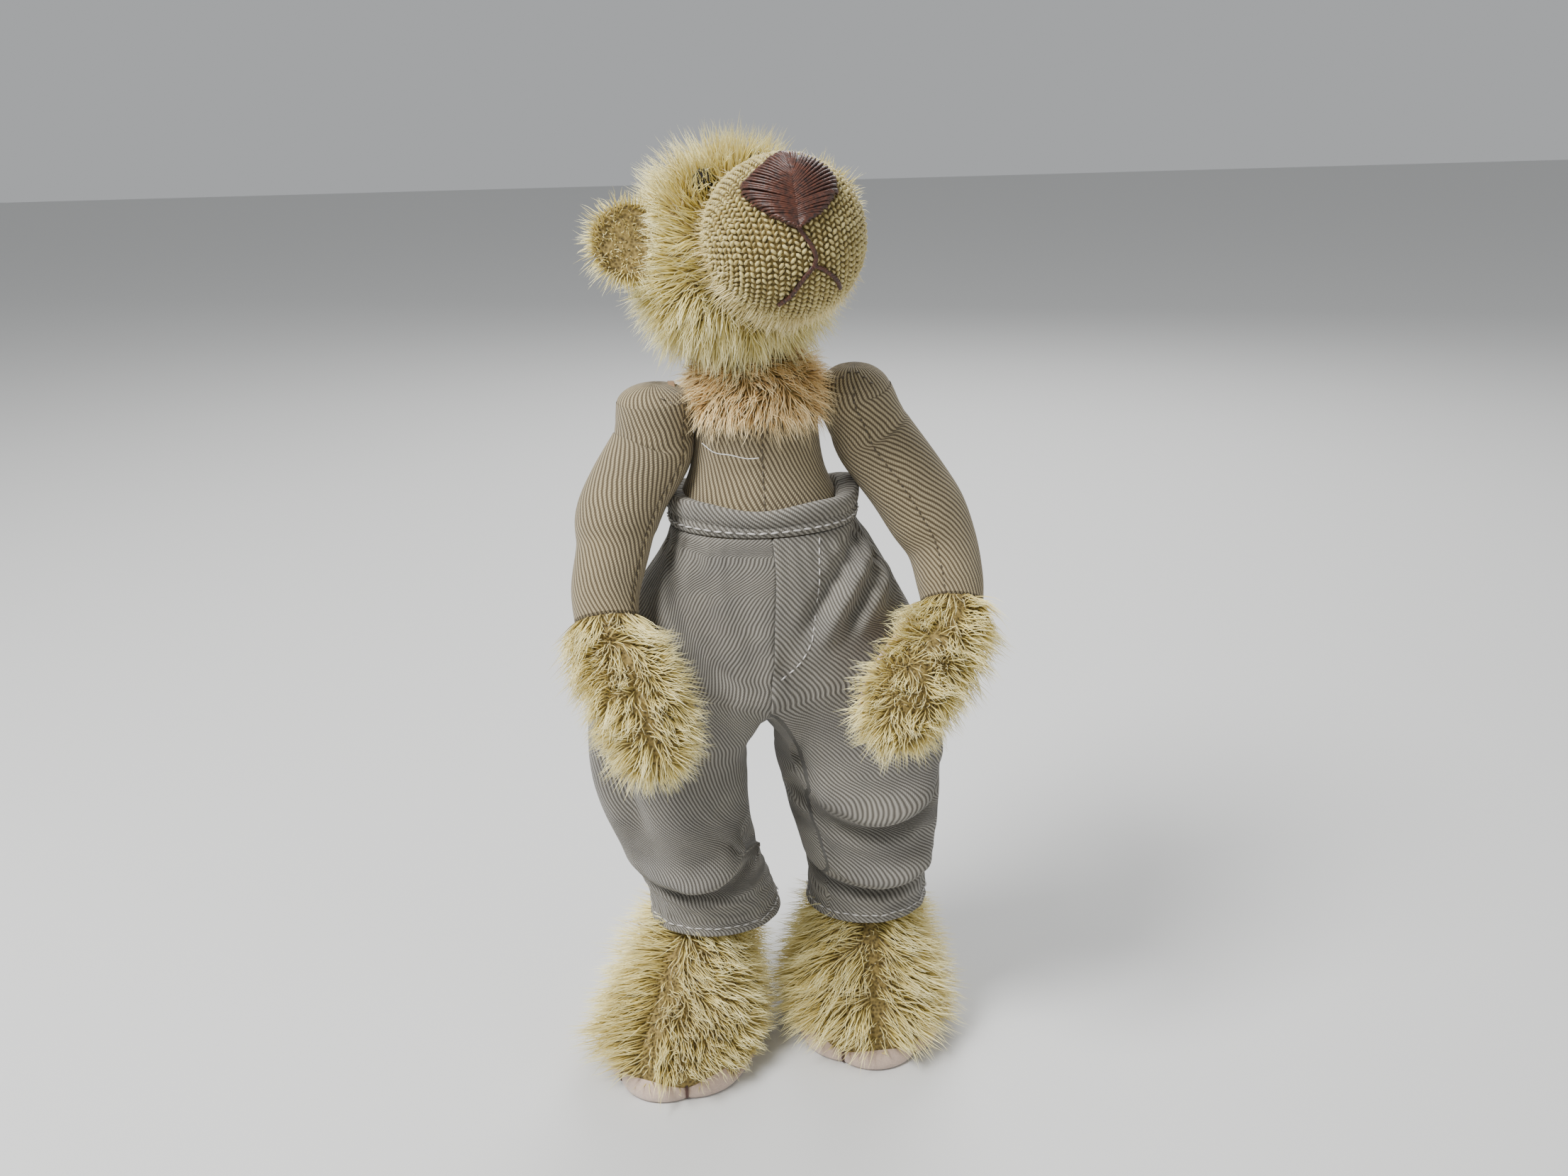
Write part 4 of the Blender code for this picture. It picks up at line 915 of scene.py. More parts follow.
armLook = {
    "right": {
        "arm": [
            (1.0, 0, -9), (5.6, -2.6, -16), (8.2, -4.6, -21.6), (9.1, -7, -27), (10.9, -11, -33.6),
            (11, -14.4, -39),
        ],
        "paw": [
            (10.5, -16.6, -42.2), (8.9, -19.5, -45.4), (6.4, -24, -49.8), (4.1, -27, -56.6), (3, -28, -62),
        ],
        "seam": 0.78, "top": 0.55, "closing": 1,
    },
    "left": {
        "arm": [
            (4.2, 0, -9.4), (9.6, -2.4, -17.4), (13.4, -4.4, -24), (15.8, -7, -29.8), (16.6, -11, -36),
            (16.4, -14, -40),
        ],
        "paw": [
            (15.4, -16.4, -43), (13.2, -19.2, -46.2), (7.8, -24, -50.2), (3.6, -27, -55.4), (1.2, -28, -60),
        ],
        "seam": 1.75, "top": 0.85, "closing": -1,
    },
}
armRadius, wristRadius, elbowSwell = 7.6, 6.2, 0.5
pawRadii, pawTip = (6.5, 7.0, 7.3, 7.1, 5.3), 1.825  # from the wrist to the paw's end, and its closing ring
discIn, discFront = 0.8, 0.4  # how far the arm's top lies in and forward of its joint
armAround, perRow = 72, 15
palmWay = {side: unit(np.array([-sign * 0.35, 1, 0])) for side, sign in sides.items()}
for side, sign in sides.items():
    look = armLook[side]
    start = jointAt[f"shoulder_{side}"]
    flip = np.array([sign, 1, 1])
    rows = []
    for angle in (86, 62, 38, 16):
        a = math.radians(angle)
        rows.append((-discIn, -discFront, armRadius * look["top"] * math.sin(a), armRadius * math.cos(a)))
    arm, paw = look["arm"], look["paw"]
    for down in (0, 2.4, 5.2):
        rows.append((arm[0][0] * down / 9.4 - discIn, -discFront, -down, armRadius))
    for i, point in enumerate(arm, 1):
        upper = max(0, 1 - i / 4)
        thinner = (wristRadius - armRadius) * max(0, 2 * i / len(arm) - 1)
        thick = armRadius + elbowSwell * (i in (1, 2, 3)) + thinner
        rows.append((point[0] - discIn * upper, point[1] - discFront * upper, point[2], thick))
    wristRow = len(rows) - 1
    for point, radius in zip(paw, pawRadii):
        rows.append((*point, radius))
    tip = np.array(paw[-1]) + unit(np.array(paw[-1]) - np.array(paw[-2])) * 1.68 * pawTip
    rows.append((*tip, pawTip))
    table = np.array([(*(start + np.array(r[:3]) * flip * mm), r[3] * mm, r[3] * mm) for r in rows])
    fine = smoothRows(table, perRow * (len(table) - 1) + 1)
    fine[:, 3:] = np.maximum(fine[:, 3:], 0.3 * mm)
    wrist = perRow * wristRow
    rings = tubeRings(fine, armAround, seamGroove([look["seam"]], 0.075, 0.06))
    armSkin = skinFromRings(f"arm_skin_{side}", rings[:wrist + 1], tanTwill)
    worn(armSkin, f"arm_{side}", "tan_twill", f"arm_cover_{side}", f"arm_stuffing_{side}", fill=0.9)
    seamAt = int(round(armAround * look["seam"] / (2 * math.pi))) % armAround
    outOf = unit(rings[40:wrist, seamAt] - fine[40:wrist, :3])
    sewn(f"arm_seam_{side}", rings[40:wrist, seamAt] + outOf * 0.05 * mm, {
        "Pitch": 1.25 * mm, "Stitch": 1.1 * mm, "Radius": 0.2 * mm, "Slant": 0.5, "Seed": 6,
        "Material": seamThread,
    }, f"arm_{side}", "tan_twill")
    closing = []  # hand stitches in a bow over the shoulder
    for k in range(14):
        row = int(34 + 16 * look["closing"] * math.sin(k / 13 * math.pi))
        column = (seamAt - 6 + k) % armAround
        closing.append(rings[row, column] + unit(rings[row, column] - fine[row, :3]) * 0.12 * mm)
    sewn(f"arm_closing_{side}", closing, {
        "Pitch": 1.6 * mm, "Stitch": 1.2 * mm, "Radius": 0.2 * mm, "Slant": 0.6, "Seed": 19,
        "Material": seamThread,
    }, f"arm_{side}", "tan_twill")
    pawRings = rings[wrist - 2:]
    pawSkin = skinFromRings(f"paw_skin_{side}", pawRings, shadeBacking)
    points = pointsOf(pawSkin)
    normal = normalsOf(pawSkin)
    share = np.concatenate([np.repeat(np.linspace(0, 1, len(pawRings)), armAround), [0, 1]])
    way = unit(np.gradient(fine[wrist - 2:, :3], axis=0))
    comb = np.concatenate([np.repeat(way, armAround, axis=0), way[:1], way[-1:]])
    bare = (normal @ palmWay[side] > 0.55) & (share > 0.25)
    parting = np.abs(normal[:, 0]) < 0.16
    pawFurLook = {
        "Spacing": 0.46 * mm, "Length": 7.4 * mm, "Length spread": 0.5, "Width": 0.16 * mm, "Lean": 0.75,
        "Clump size": 2.4 * mm, "Clump pull": 0.85, "Tousle": 0.95, "Stray": 0.22, "Droop": 0.2,
        "Wave": 0.5 * mm, "Seed": 31, "Material": footFur,
    }
    pile = np.where(bare | (share < 0.02), 0.0, np.where(parting, 0.45, 1.0))
    comb = comb * np.clip(1.3 - 1.5 * share, 0, 1)[:, None] + normal * 0.2
    fleece(
        f"paw_fur_{side}", pawSkin, f"arm_{side}", "cream_mohair", pawFurLook, pile, comb, 1 - 0.35 * share,
    )
    worn(pawSkin, f"arm_{side}", "cream_mohair", f"paw_cover_{side}", fill=0.85)
    padSkin = skinFromRings(f"palm_pad_{side}", tubeRings(fine[wrist + perRow + 1:], armAround), felt)
    padPoints, padNormal = pointsOf(padSkin), normalsOf(padSkin)
    lift = np.clip((padNormal @ palmWay[side] - 0.35) / 0.3, 0, 1)
    lift = lift * lift * (3 - 2 * lift)
    padPoints = padPoints + padNormal * ((lift * 1.9 - 0.7) * mm)[:, None]
    padSkin.data.vertices.foreach_set("co", padPoints.astype(np.float32).ravel())
    padSkin.data.update()
    worn(padSkin, f"arm_{side}", "felt", f"paw_pad_{side}", fill=0.3)
print("arms done")


legLook = {
    "right": {"ankle": (14.8, 2.0), "sole": (19.4, -7.0), "toeOut": 30.0, "bow": (0.2, -3.4), "wider": -0.35},
    "left": {"ankle": (21.9, 2.0), "sole": (21.4, -2.0), "toeOut": 0.0, "bow": (0.6, 0.8), "wider": 0.0},
}
footShape = [  # height share, way from the sole's middle to the ankle's, half width, half depth
    (0.05, 0.00, 14.6, 17.8), (0.12, 0.00, 15.6, 19.0), (0.27, 0.10, 15.1, 18.4), (0.45, 0.30, 13.1, 16.0),
    (0.64, 0.60, 11.6, 13.4), (0.82, 0.86, 9.2, 10.0), (1.0, 1.0, 7.4, 7.4),
]
legRadius, ankleRadius, ankleHeight = 8, 7.4, 33.0
soleHalf, soleLong, toeBulge = 15.6, 38.0, 1.3
soleEdge = [  # how far in from the outline, and height
    (5, 0), (1.0, 0.0), (0.3, 0.25), (0, 0.7), (0.0, 1.6), (0.35, 3.4), (1.4, 5.0), (3.2, 6.0), (7.0, 6.2),
]


def footPlace(middle, spin, x, y, z):
    # x across and y along a foot that is turned by spin
    aside = middle[0] + x * math.cos(spin) - y * math.sin(spin)
    return aside, middle[1] + x * math.sin(spin) + y * math.cos(spin), z


for side, sign in sides.items():
    look = legLook[side]
    hip = jointAt[f"hip_{side}"]
    ankle = bodyMiddle + np.array([sign * look["ankle"][0], look["ankle"][1], ankleHeight]) * mm
    sole = bodyMiddle + np.array([sign * look["sole"][0], look["sole"][1], 0]) * mm
    spin = math.radians(sign * look["toeOut"])
    rows = []
    for a in (86, 60, 34, 0):
        rise, wide = legRadius * math.sin(math.radians(a)), legRadius * math.cos(math.radians(a))
        rows.append((hip[0], hip[1], hip[2] + rise * mm, wide * mm))
    for share, lean in ((0.35, look["bow"][0]), (0.72, look["bow"][1])):
        straight = hip * (1 - share) + ankle * share
        bowed = straight[0] + sign * lean * 0.3 * mm
        rows.append((bowed, straight[1], straight[2], (legRadius - 0.6 * share) * mm))
    rows.append((*ankle, ankleRadius * mm))
    table = np.array([(*r[:3], r[3], r[3]) for r in rows])
    fine = smoothRows(table, 61)
    fine[:, 3:] = np.maximum(fine[:, 3:], 0.4 * mm)
    legSkin = skinFromRings(f"leg_skin_{side}", tubeRings(fine, 40), tanTwill)
    worn(legSkin, f"leg_{side}", "tan_twill", f"leg_cover_{side}", f"leg_stuffing_{side}", fill=0.85)

    shape = smoothRows(footShape, 60)
    angle = np.linspace(0, 2 * math.pi, 96, endpoint=False)
    rings = []
    for height, share, wide, deep in shape:
        middle = sole * (1 - share) + np.array([ankle[0], ankle[1], 0]) * share
        x, y = wide * mm * np.cos(angle), deep * mm * np.sin(angle)
        z = max(height * ankleHeight, 1.7) * mm
        rings.append(np.stack(footPlace(middle, spin, x, y, 0 * x + z), 1))
    rings = np.array(rings)
    footSkin = skinFromRings(f"foot_skin_{side}", rings, shadeBacking)
    points, normal = pointsOf(footSkin), normalsOf(footSkin)
    toe = np.array([math.sin(spin), -math.cos(spin), 0])
    across = np.array([math.cos(spin), math.sin(spin), 0])
    local = points - sole
    ahead, aside = local @ toe / mm, local @ across / mm
    comb = np.outer(np.clip(ahead / 8, -1, 1), toe) * 0.6 + np.outer(np.sign(aside) * 0.75, across)
    comb = unit(comb + np.array([0, 0, -0.35]))
    parting = (np.abs(aside) < 1.3) & (ahead > 2)
    heights = points[:, 2] / mm
    openToes = (ahead > 9) & (heights < 5.5)
    footFurLook = {
        "Spacing": 0.55 * mm, "Length": 9.2 * mm, "Length spread": 0.5, "Width": 0.18 * mm, "Lean": 0.9,
        "Clump size": 2.8 * mm, "Clump pull": 0.85, "Tousle": 0.9, "Stray": 0.2, "Droop": 0.12,
        "Wave": 0.6 * mm, "Seed": 43, "Material": footFur,
    }
    pile = np.where(heights > 31, 0.0, np.where(parting, 0.35, np.where(openToes, 0.12, 1.0)))
    reach = np.clip(heights / 7, 0.35, 1) * np.where(parting, 0.5, 1.0)
    reach = reach * np.clip(1 + look["wider"] * aside / 12, 0.55, 1.2)
    fleece(f"foot_fur_{side}", footSkin, f"leg_{side}", "pale_mohair", footFurLook, pile, comb, reach)
    worn(footSkin, f"leg_{side}", "pale_mohair", f"foot_cover_{side}", fill=0.85)

    outline = []
    for a in np.linspace(0, 2 * math.pi, 144, endpoint=False):
        front = max(0.0, -math.sin(a))
        toes = abs(math.cos(3 * (a - math.pi / 2))) ** 0.7 * min(1.0, 2 * front)
        wide = soleHalf * (1 - 0.10 * max(0.0, math.sin(a)))
        outline.append((wide * math.cos(a), soleLong / 2 * math.sin(a), toes * (front > 0), front))
    outline = np.array(outline)
    soleRings = []
    for inset, height in soleEdge:
        swell = toeBulge * outline[:, 2] * (1 if height < 5 else 0.6)
        lobe = np.where(outline[:, 3] > 0.45, 1.0, 0.22) * (0.55 + 0.45 * outline[:, 2])
        scale = 1 - inset / soleHalf + swell / soleHalf
        x, y = outline[:, 0] * scale * mm, outline[:, 1] * scale * mm
        z = np.where(height > 1, 1 + (height - 1) * lobe, height) * mm
        soleRings.append(np.stack(footPlace(sole, spin, x, y, z), 1))
    soleSkin = skinFromRings(f"sole_{side}", np.array(soleRings), felt)
    worn(soleSkin, f"leg_{side}", "felt", f"sole_felt_{side}", fill=0.5)
    toePaths = []
    for a in (-math.pi / 2 - math.pi / 6, -math.pi / 2 + math.pi / 6):
        path = []
        for inset, height in ((2.0, 0), (0.2, 0.3), (-0.35, 1.6), (0.2, 3.2), (1.8, 4.6), (4.5, 6.4)):
            x = (soleHalf - inset) * math.cos(a) * mm
            y = (soleLong / 2 - inset) * math.sin(a) * mm
            path.append(footPlace(sole, spin, x, y, max(0.3, height) * mm))
        toePaths.append(smoothRows(path, 24))
    toeThread = fromPaths(
        f"toe_stitches_{side}", toePaths, thread, {"Radius": 0.3 * mm, "Sides": 6, "Material": darkThread},
    )
    worn(toeThread, f"leg_{side}", "brown_thread")
print("feet done")


trouserLook = {
    "around": 120, "crotch": 15, "seatRings": 36, "legRings": 60, "grow": 10.0, "frames": 12, "settle": 0.3,
    "smoothing": 14,
    "rows": {
        "right": [
            (0.17, 22.1, 16.1, 12.2), (0.34, 20.9, 17.5, 14.8), (0.54, 19.5, 16.8, 15.2),
            (0.74, 15.6, 15.2, 14.2), (0.87, 12.6, 14.2, 13.4), (1, 11.6, 14.4, 12.6),
        ],
        "left": [
            (0.17, 21.9, 16.9, 12.2), (0.34, 20.9, 18.9, 14.8), (0.54, 21.2, 17.5, 15.2),
            (0.74, 21.8, 15.0, 14.2), (0.87, 22.0, 13.4, 13.4), (1, 22.0, 13.4, 12.6),
        ],
    },
    "seat": [
        (119.2, 1.0, 18.4, 14.8), (113.4, 1.6, 22.2, 16.4), (106.4, 1.4, 27.0, 17.4),
        (99.4, 0.8, 31.2, 18.4), (93, 0.2, 35.6, 19), (88.5, 0, 37.6, 19),
    ],
    "crotchLow": 81.0, "legTop": 90.0, "hem": 30.5, "back": 0.4,
}


def trouserPoints(longer):
    # seat rings from the waist down, a crotch line, then each leg's rings; longer stretches the cut
    look = trouserLook
    around, half = look["around"], look["around"] // 2
    # starts at the centre front, goes to the bear's left
    angle = -math.pi / 2 + 2 * math.pi * np.arange(around) / around
    seatRows = smoothRows(look["seat"], look["seatRings"])
    points = []
    for k, (z, x, wide, deep) in enumerate(seatRows):
        down = k / (len(seatRows) - 1)
        gather = 1 + longer * 0.10 * math.sin(math.pi * min(1, 0.25 + down))
        low = (z - look["seat"][-1][0]) * (1 + 0.10 * longer)
        aside = x + wide * gather * np.cos(angle)
        ahead = look["back"] + deep * gather * np.sin(angle)
        ring = np.stack([aside, ahead, 0 * angle + look["seat"][-1][0] + low], 1)
        ring[:, 2] -= (down ** 3) * 5.0 * hill(aside / 9)
        points.append(ring)
    last = points[-1]
    front, back = last[0], last[half]
    t = np.linspace(0, 1, look["crotch"] + 2)[1:-1]
    bar = front + (back - front) * t[:, None]
    bar[:, 2] -= (last[0][2] - look["crotchLow"]) * np.sin(math.pi * t) ** 0.7
    bar[:, 0] = 0
    points = [np.concatenate(points), bar]
    for side, sign in (("left", 1), ("right", -1)):
        if sign > 0:
            top = np.concatenate([last[:half + 1], bar[::-1]])
        else:
            top = np.concatenate([last[half:], last[:1], bar])
        rows = smoothRows(look["rows"][side], look["legRings"])
        turnAt = np.unwrap(np.arctan2(top[:, 1] - look["back"], (top[:, 0] - sign * 20.0)))
        legRings = []
        for k, (down, out, wide, deep) in enumerate(rows):
            share = (k + 1) / len(rows)
            z = look["legTop"] + down * (look["hem"] - look["legTop"])
            aside = sign * out + wide * np.cos(turnAt)
            ahead = look["back"] + deep * np.sin(turnAt)
            oval = np.stack([aside, ahead, 0 * turnAt + z], 1)
            fall = min(1.0, share / 0.22)  # the seat's outline turns into the leg's over this share
            mix = fall * fall * (3 - 2 * fall)
            slid = top.copy()
            slid[:, 2] = top[:, 2] * (1 - fall) + oval[:, 2] * fall
            ring = slid * (1 - mix) + oval * mix
            ring[:, 2] = look["hem"] + (ring[:, 2] - look["hem"]) * (1 + 0.30 * longer)
            middle = [sign * out, look["back"]]
            ring[:, :2] = middle + (ring[:, :2] - middle) * (1 + 0.06 * longer)
            legRings.append(ring)
        points.append(np.concatenate(legRings))
    return np.concatenate(points)


foldLook = [  # path in x and z, ridge height, width, and where the hollow beside it lies
    ([(3.6, 72.0), (10.8, 63.8), (20.8, 59.2), (29.7, 61.2), (36.5, 69.0)], 2.6, 3.4, 1),
    ([(2.0, 57.0), (9.3, 47.4), (19.6, 43.3), (29.9, 44.6), (36, 51.0)], 2.4, 3.2, 1),
    ([(2.9, 79.0), (1.2, 71.0), (5.5, 64.5)], 1.6, 3.0, -1),
    ([(-30, 46.5), (-13.4, 46.0), (-4.5, 51.0), (1.5, 58.5)], 2.4, 3.0, 1),
    ([(-7.0, 55.5), (-1.5, 50.5), (3.0, 46.0)], 1.8, 2.4, 1),
    ([(24.2, 121.0), (21.3, 113.6), (14.7, 105.2), (8.6, 95.4)], 1.5, 2.8, 1),
    ([(29.5, 113.0), (21.9, 104.8), (17.1, 97.4)], 1.3, 2.4, 1),
    ([(-22.5, 118.4), (-21.0, 103.9), (-15.2, 92.0), (-7.3, 86.0)], 1.6, 2.8, -1),
    ([(-11.4, 119.4), (-10.9, 111.9), (-6.9, 99.1)], 0.8, 2.6, 1),
    ([(-2.6, 102.6), (1.6, 92.3)], 0.7, 2.0, 1),
    ([(-36.5, 82.0), (-35.1, 68.8), (-29.3, 53.2)], 1.2, 3.0, -1),
    ([(30, 96), (33, 84), (36, 74)], 1.2, 3.0, 1),
]


def folded(points):
    # raises the folds on the front, and looser ones behind
    points = points.copy()
    middle = np.where(np.abs(points[:, :1]) > 4, np.clip(points[:, :1], -21, 21), 0)
    out = unit(np.stack([(points[:, 0] - middle[:, 0]) * 0.8, points[:, 1], 0 * points[:, 0]], 1) + 1e-9)
    rise = np.zeros(len(points))
    for path, high, wide, sideSign in foldLook:
        line = smoothRows(path, 60)
        gap = points[:, None, [0, 2]] - line[None]
        nearest = np.argmin((gap ** 2).sum(2), axis=1)
        tangent = unit(np.gradient(line, axis=0))[nearest]
        away = gap[np.arange(len(points)), nearest]
        across = away[:, 0] * tangent[:, 1] - away[:, 1] * tangent[:, 0]
        beyond = np.abs((away * tangent).sum(1))
        along = nearest / 59
        ends = np.clip(np.minimum(along, 1 - along) / 0.22, 0.25, 1) * hill(beyond / 3)
        shape = hill(across / (0.85 * wide)) - hill((across - sideSign * 1.35 * wide) / (0.5 * wide))
        rise += 1.75 * high * shape * ends * np.clip(-points[:, 1] / 7, 0, 1)
    z, x = points[:, 2], points[:, 0]
    behind = np.clip(points[:, 1] / 7, 0, 1)
    slack = np.sin(z / 4.2 + 0.35 * np.abs(x) + 1.1 * np.sin(x / 7))
    rise += behind * 0.9 * slack * np.clip((100 - z) / 20, 0, 1)
    gather = np.clip((z - 101) / 18, 0, 1) ** 1.5
    pleat = np.sin(np.arctan2(points[:, 1], x) * 34 + 0.16 * z)
    rise += gather * (0.22 + 0.55 * np.clip(np.abs(x) / 18, 0, 1)) * pleat
    nearHem = np.clip((44 - z) / 12, 0, 1)
    rise += nearHem * 0.4 * np.sin(np.arctan2(points[:, 1], x - middle[:, 0]) * 15 + 0.1 * z)
    still = np.clip((z - 30.5) / 3, 0.3, 1) * np.clip((119.3 - z) / 2.5, 0, 1)
    return points + out * (rise * still)[:, None]


def evened(points, faces, fixed, rounds):
    # rounds off the corner between seat and legs
    faces = np.array(faces)
    pairs = np.concatenate([faces[:, [0, 1]], faces[:, [1, 2]], faces[:, [2, 3]], faces[:, [3, 0]]])
    pairs = np.concatenate([pairs, pairs[:, ::-1]])
    count = np.bincount(pairs[:, 0], minlength=len(points))[:, None]
    points = points.copy()
    kept = points[fixed]
    for _ in range(rounds):
        total = np.zeros_like(points)
        np.add.at(total, pairs[:, 0], points[pairs[:, 1]])
        points = 0.5 * points + 0.5 * total / count
        points[fixed] = kept
    return points


def trouserFaces():
    look = trouserLook
    around, seatCount, legCount, bars = (look[key] for key in ("around", "seatRings", "legRings", "crotch"))
    half = around // 2
    faces, sideOf = [], []
    for i in range(seatCount - 1):
        for j in range(around):
            k = (j + 1) % around
            faces.append((i * around + j, (i + 1) * around + j, (i + 1) * around + k, i * around + k))
            sideOf.append("left" if j < half else "right")
    lastRing = (seatCount - 1) * around
    barStart = seatCount * around
    base = barStart + bars
    size = half + 1 + bars
    rowsOf = {}
    for side in ("left", "right"):
        if side == "left":
            top = [lastRing + j for j in range(half + 1)] + [barStart + bars - 1 - b for b in range(bars)]
        else:
            top = [
                lastRing + j for j in range(half, around)
            ] + [lastRing] + [barStart + b for b in range(bars)]
        rows = [top] + [[base + r * size + j for j in range(size)] for r in range(legCount)]
        base += legCount * size
        rowsOf[side] = rows
        for upper, lower in zip(rows, rows[1:]):
            for j in range(size):
                k = (j + 1) % size
                faces.append((upper[j], lower[j], lower[k], upper[k]))
                sideOf.append(side)
    return faces, sideOf, rowsOf


def simulateCloth(obj, colliders, frames):
    cloth = obj.modifiers.new("cloth", "CLOTH")
    setting = cloth.settings
    setting.quality = 5
    setting.mass = 0.25
    setting.tension_stiffness = setting.compression_stiffness = 14
    setting.shear_stiffness = 5
    setting.bending_stiffness = 0.9
    setting.air_damping = 2.5
    setting.vertex_group_mass = "held"
    setting.use_pressure = True
    setting.uniform_pressure_force = 0.6
    setting.rest_shape_key = obj.data.shape_keys.key_blocks["cut"]
    contact = cloth.collision_settings
    contact.collision_quality = 3
    contact.distance_min = 0.006
    contact.use_self_collision = True
    contact.self_distance_min = 0.006
    for other in colliders:
        other.modifiers.new("collide", "COLLISION")
        other.collision.thickness_outer = 0.006
    scene = bpy.context.scene
    for f in range(1, frames + 1):
        scene.frame_set(f)
    mesh = bpy.data.meshes.new_from_object(obj.evaluated_get(bpy.context.evaluated_depsgraph_get()))
    scene.frame_set(1)
    for other in colliders:
        bpy.data.objects.remove(other)
    return mesh


def makeTrousers():
    look = trouserLook
    grow = look["grow"]
    offset = bodyMiddle
    faces, halves, rowsOf = trouserFaces()
    fixed = [*range(2 * look["around"]), *rowsOf["left"][-1], *rowsOf["right"][-1]]
    start = folded(evened(trouserPoints(0), faces, fixed, look["smoothing"]))
    cut = folded(evened(trouserPoints(0.3), faces, fixed, look["smoothing"]))
    work = newObject("trousers_work", start * mm * grow, faces)
    work.shape_key_add(name="Basis")
    key = work.shape_key_add(name="cut")
    key.data.foreach_set("co", (cut * mm * grow).astype(np.float32).ravel())
    key.value = 0
    held = work.vertex_groups.new(name="held")
    held.add(list(range(look["around"])), 1.0, "REPLACE")
    for side in ("left", "right"):
        held.add(rowsOf[side][-1], 1.0, "REPLACE")
    colliders = []
    pairs = ("leg_skin", "foot_skin", "paw_skin", "palm_pad")
    for name in ("torso_skin", *(f"{part}_{side}" for part in pairs for side in sides)):
        source = bpy.data.objects[name]
        copy = source.copy()
        copy.data = source.data.copy()
        copy.parent = None
        copy.data.transform(Matrix.Scale(grow, 4) @ Matrix.Translation(-Vector(offset)))
        copy.matrix_world = Matrix.Identity(4)
        bpy.context.scene.collection.objects.link(copy)
        colliders.append(copy)
    mesh = simulateCloth(work, colliders, look["frames"])
    final = np.empty(len(mesh.vertices) * 3, np.float32)
    mesh.vertices.foreach_get("co", final)
    final = start * mm + look["settle"] * (final.reshape(-1, 3).astype(float) / grow - start * mm)
    bpy.data.objects.remove(work)
    return final + offset, cut, faces, halves, rowsOf


def clothWays(side):
    # each point's place across and down the cut cloth, in millimetres
    look = trouserLook
    around, half = look["around"], look["around"] // 2
    acrossOf, downOf = {}, {}
    columnsOf = list(range(half + 1)) if side == "left" else [*range(half, around), 0]
    rows = [[r * around + j for j in columnsOf] for r in range(look["seatRings"])] + legRows[side][1:]
    down = np.zeros(len(legRows[side][0]))
    for r, row in enumerate(rows):
        ring = pattern[row]
        step = np.linalg.norm(np.diff(ring, axis=0), axis=1)
        across = np.concatenate([[0], np.cumsum(step)])
        if r:
            fall = -(ring[:half + 1, 2] - pattern[rows[r - 1]][:half + 1, 2]).mean()
            down += fall
        for k, i in enumerate(row):
            acrossOf[i] = across[k]
            downOf[i] = down[0]
        girth = across[-1]
    for k, i in enumerate(legRows[side][0][half + 1:]):
        acrossOf[i] = acrossOf[legRows[side][0][half]] + 2.2 * (k + 1)
        downOf[i] = downOf[legRows[side][0][half]]
    acrossOf["girth"] = girth
    return acrossOf, downOf


cloth, pattern, trouserQuads, halfOf, legRows = makeTrousers()
print("cloth settled")
clothThick = 0.55 * mm
cutLong, cutSpare = 0.095, 1.18  # waist to hem on the flat cloth, and what its curved edges cut away
for side, sign in sides.items():
    quads = [q for q, h in zip(trouserQuads, halfOf) if h == side]
    used = sorted({i for q in quads for i in q})
    index = {v: i for i, v in enumerate(used)}
    points = cloth[used]
    finish = greyTwill if side == "left" else greyTwillSteep
    obj = newObject(f"trousers_{side}", points, [[index[i] for i in q] for q in quads], finish)
    acrossOf, downOf = clothWays(side)
    layer = obj.data.uv_layers.new(name="Cloth")
    uv = []
    for quad in quads:
        across = np.array([acrossOf[i] for i in quad])
        if np.ptp(across) > 60:
            across = np.where(across < across.max() / 2, across + acrossOf["girth"], across)
        uv += [(a * mm, -downOf[i] * mm) for a, i in zip(across, quad)]
    layer.data.foreach_set("uv", np.array(uv, np.float32).ravel())
    finer = obj.modifiers.new("finer", "SUBSURF")
    finer.levels = finer.render_levels = 1
    shell = obj.modifiers.new("shell", "SOLIDIFY")
    shell.thickness = clothThick
    shell.offset = -1
    bpy.context.view_layer.update()
    mesh = bpy.data.meshes.new_from_object(obj.evaluated_get(bpy.context.evaluated_depsgraph_get()))
    obj.modifiers.clear()
    obj.data = mesh
    mesh.shade_smooth()
    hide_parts(f"trouser_leg_{side}", *(["trousers_seat"] if side == "right" else []))
    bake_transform(obj)
    clothArea = sum(polygon.area for polygon in obj.data.polygons) / 2
    flat = (cutSpare * clothArea / cutLong, cutLong)
    hemRow = cloth[legRows[side][-4]]
    hemLine = np.concatenate([hemRow, hemRow[:1]])
    hemOut = unit((hemLine - hemLine.mean(0)) * [1, 1, 0])
    sewn(f"hem_stitches_{side}", hemLine + hemOut * 0.12 * mm, {
        "Pitch": 2.1 * mm, "Stitch": 1.7 * mm, "Radius": 0.16 * mm, "Slant": 0.0, "Seed": 9,
        "Material": paleThread,
    }, f"leg_{side}", "grey_twill")

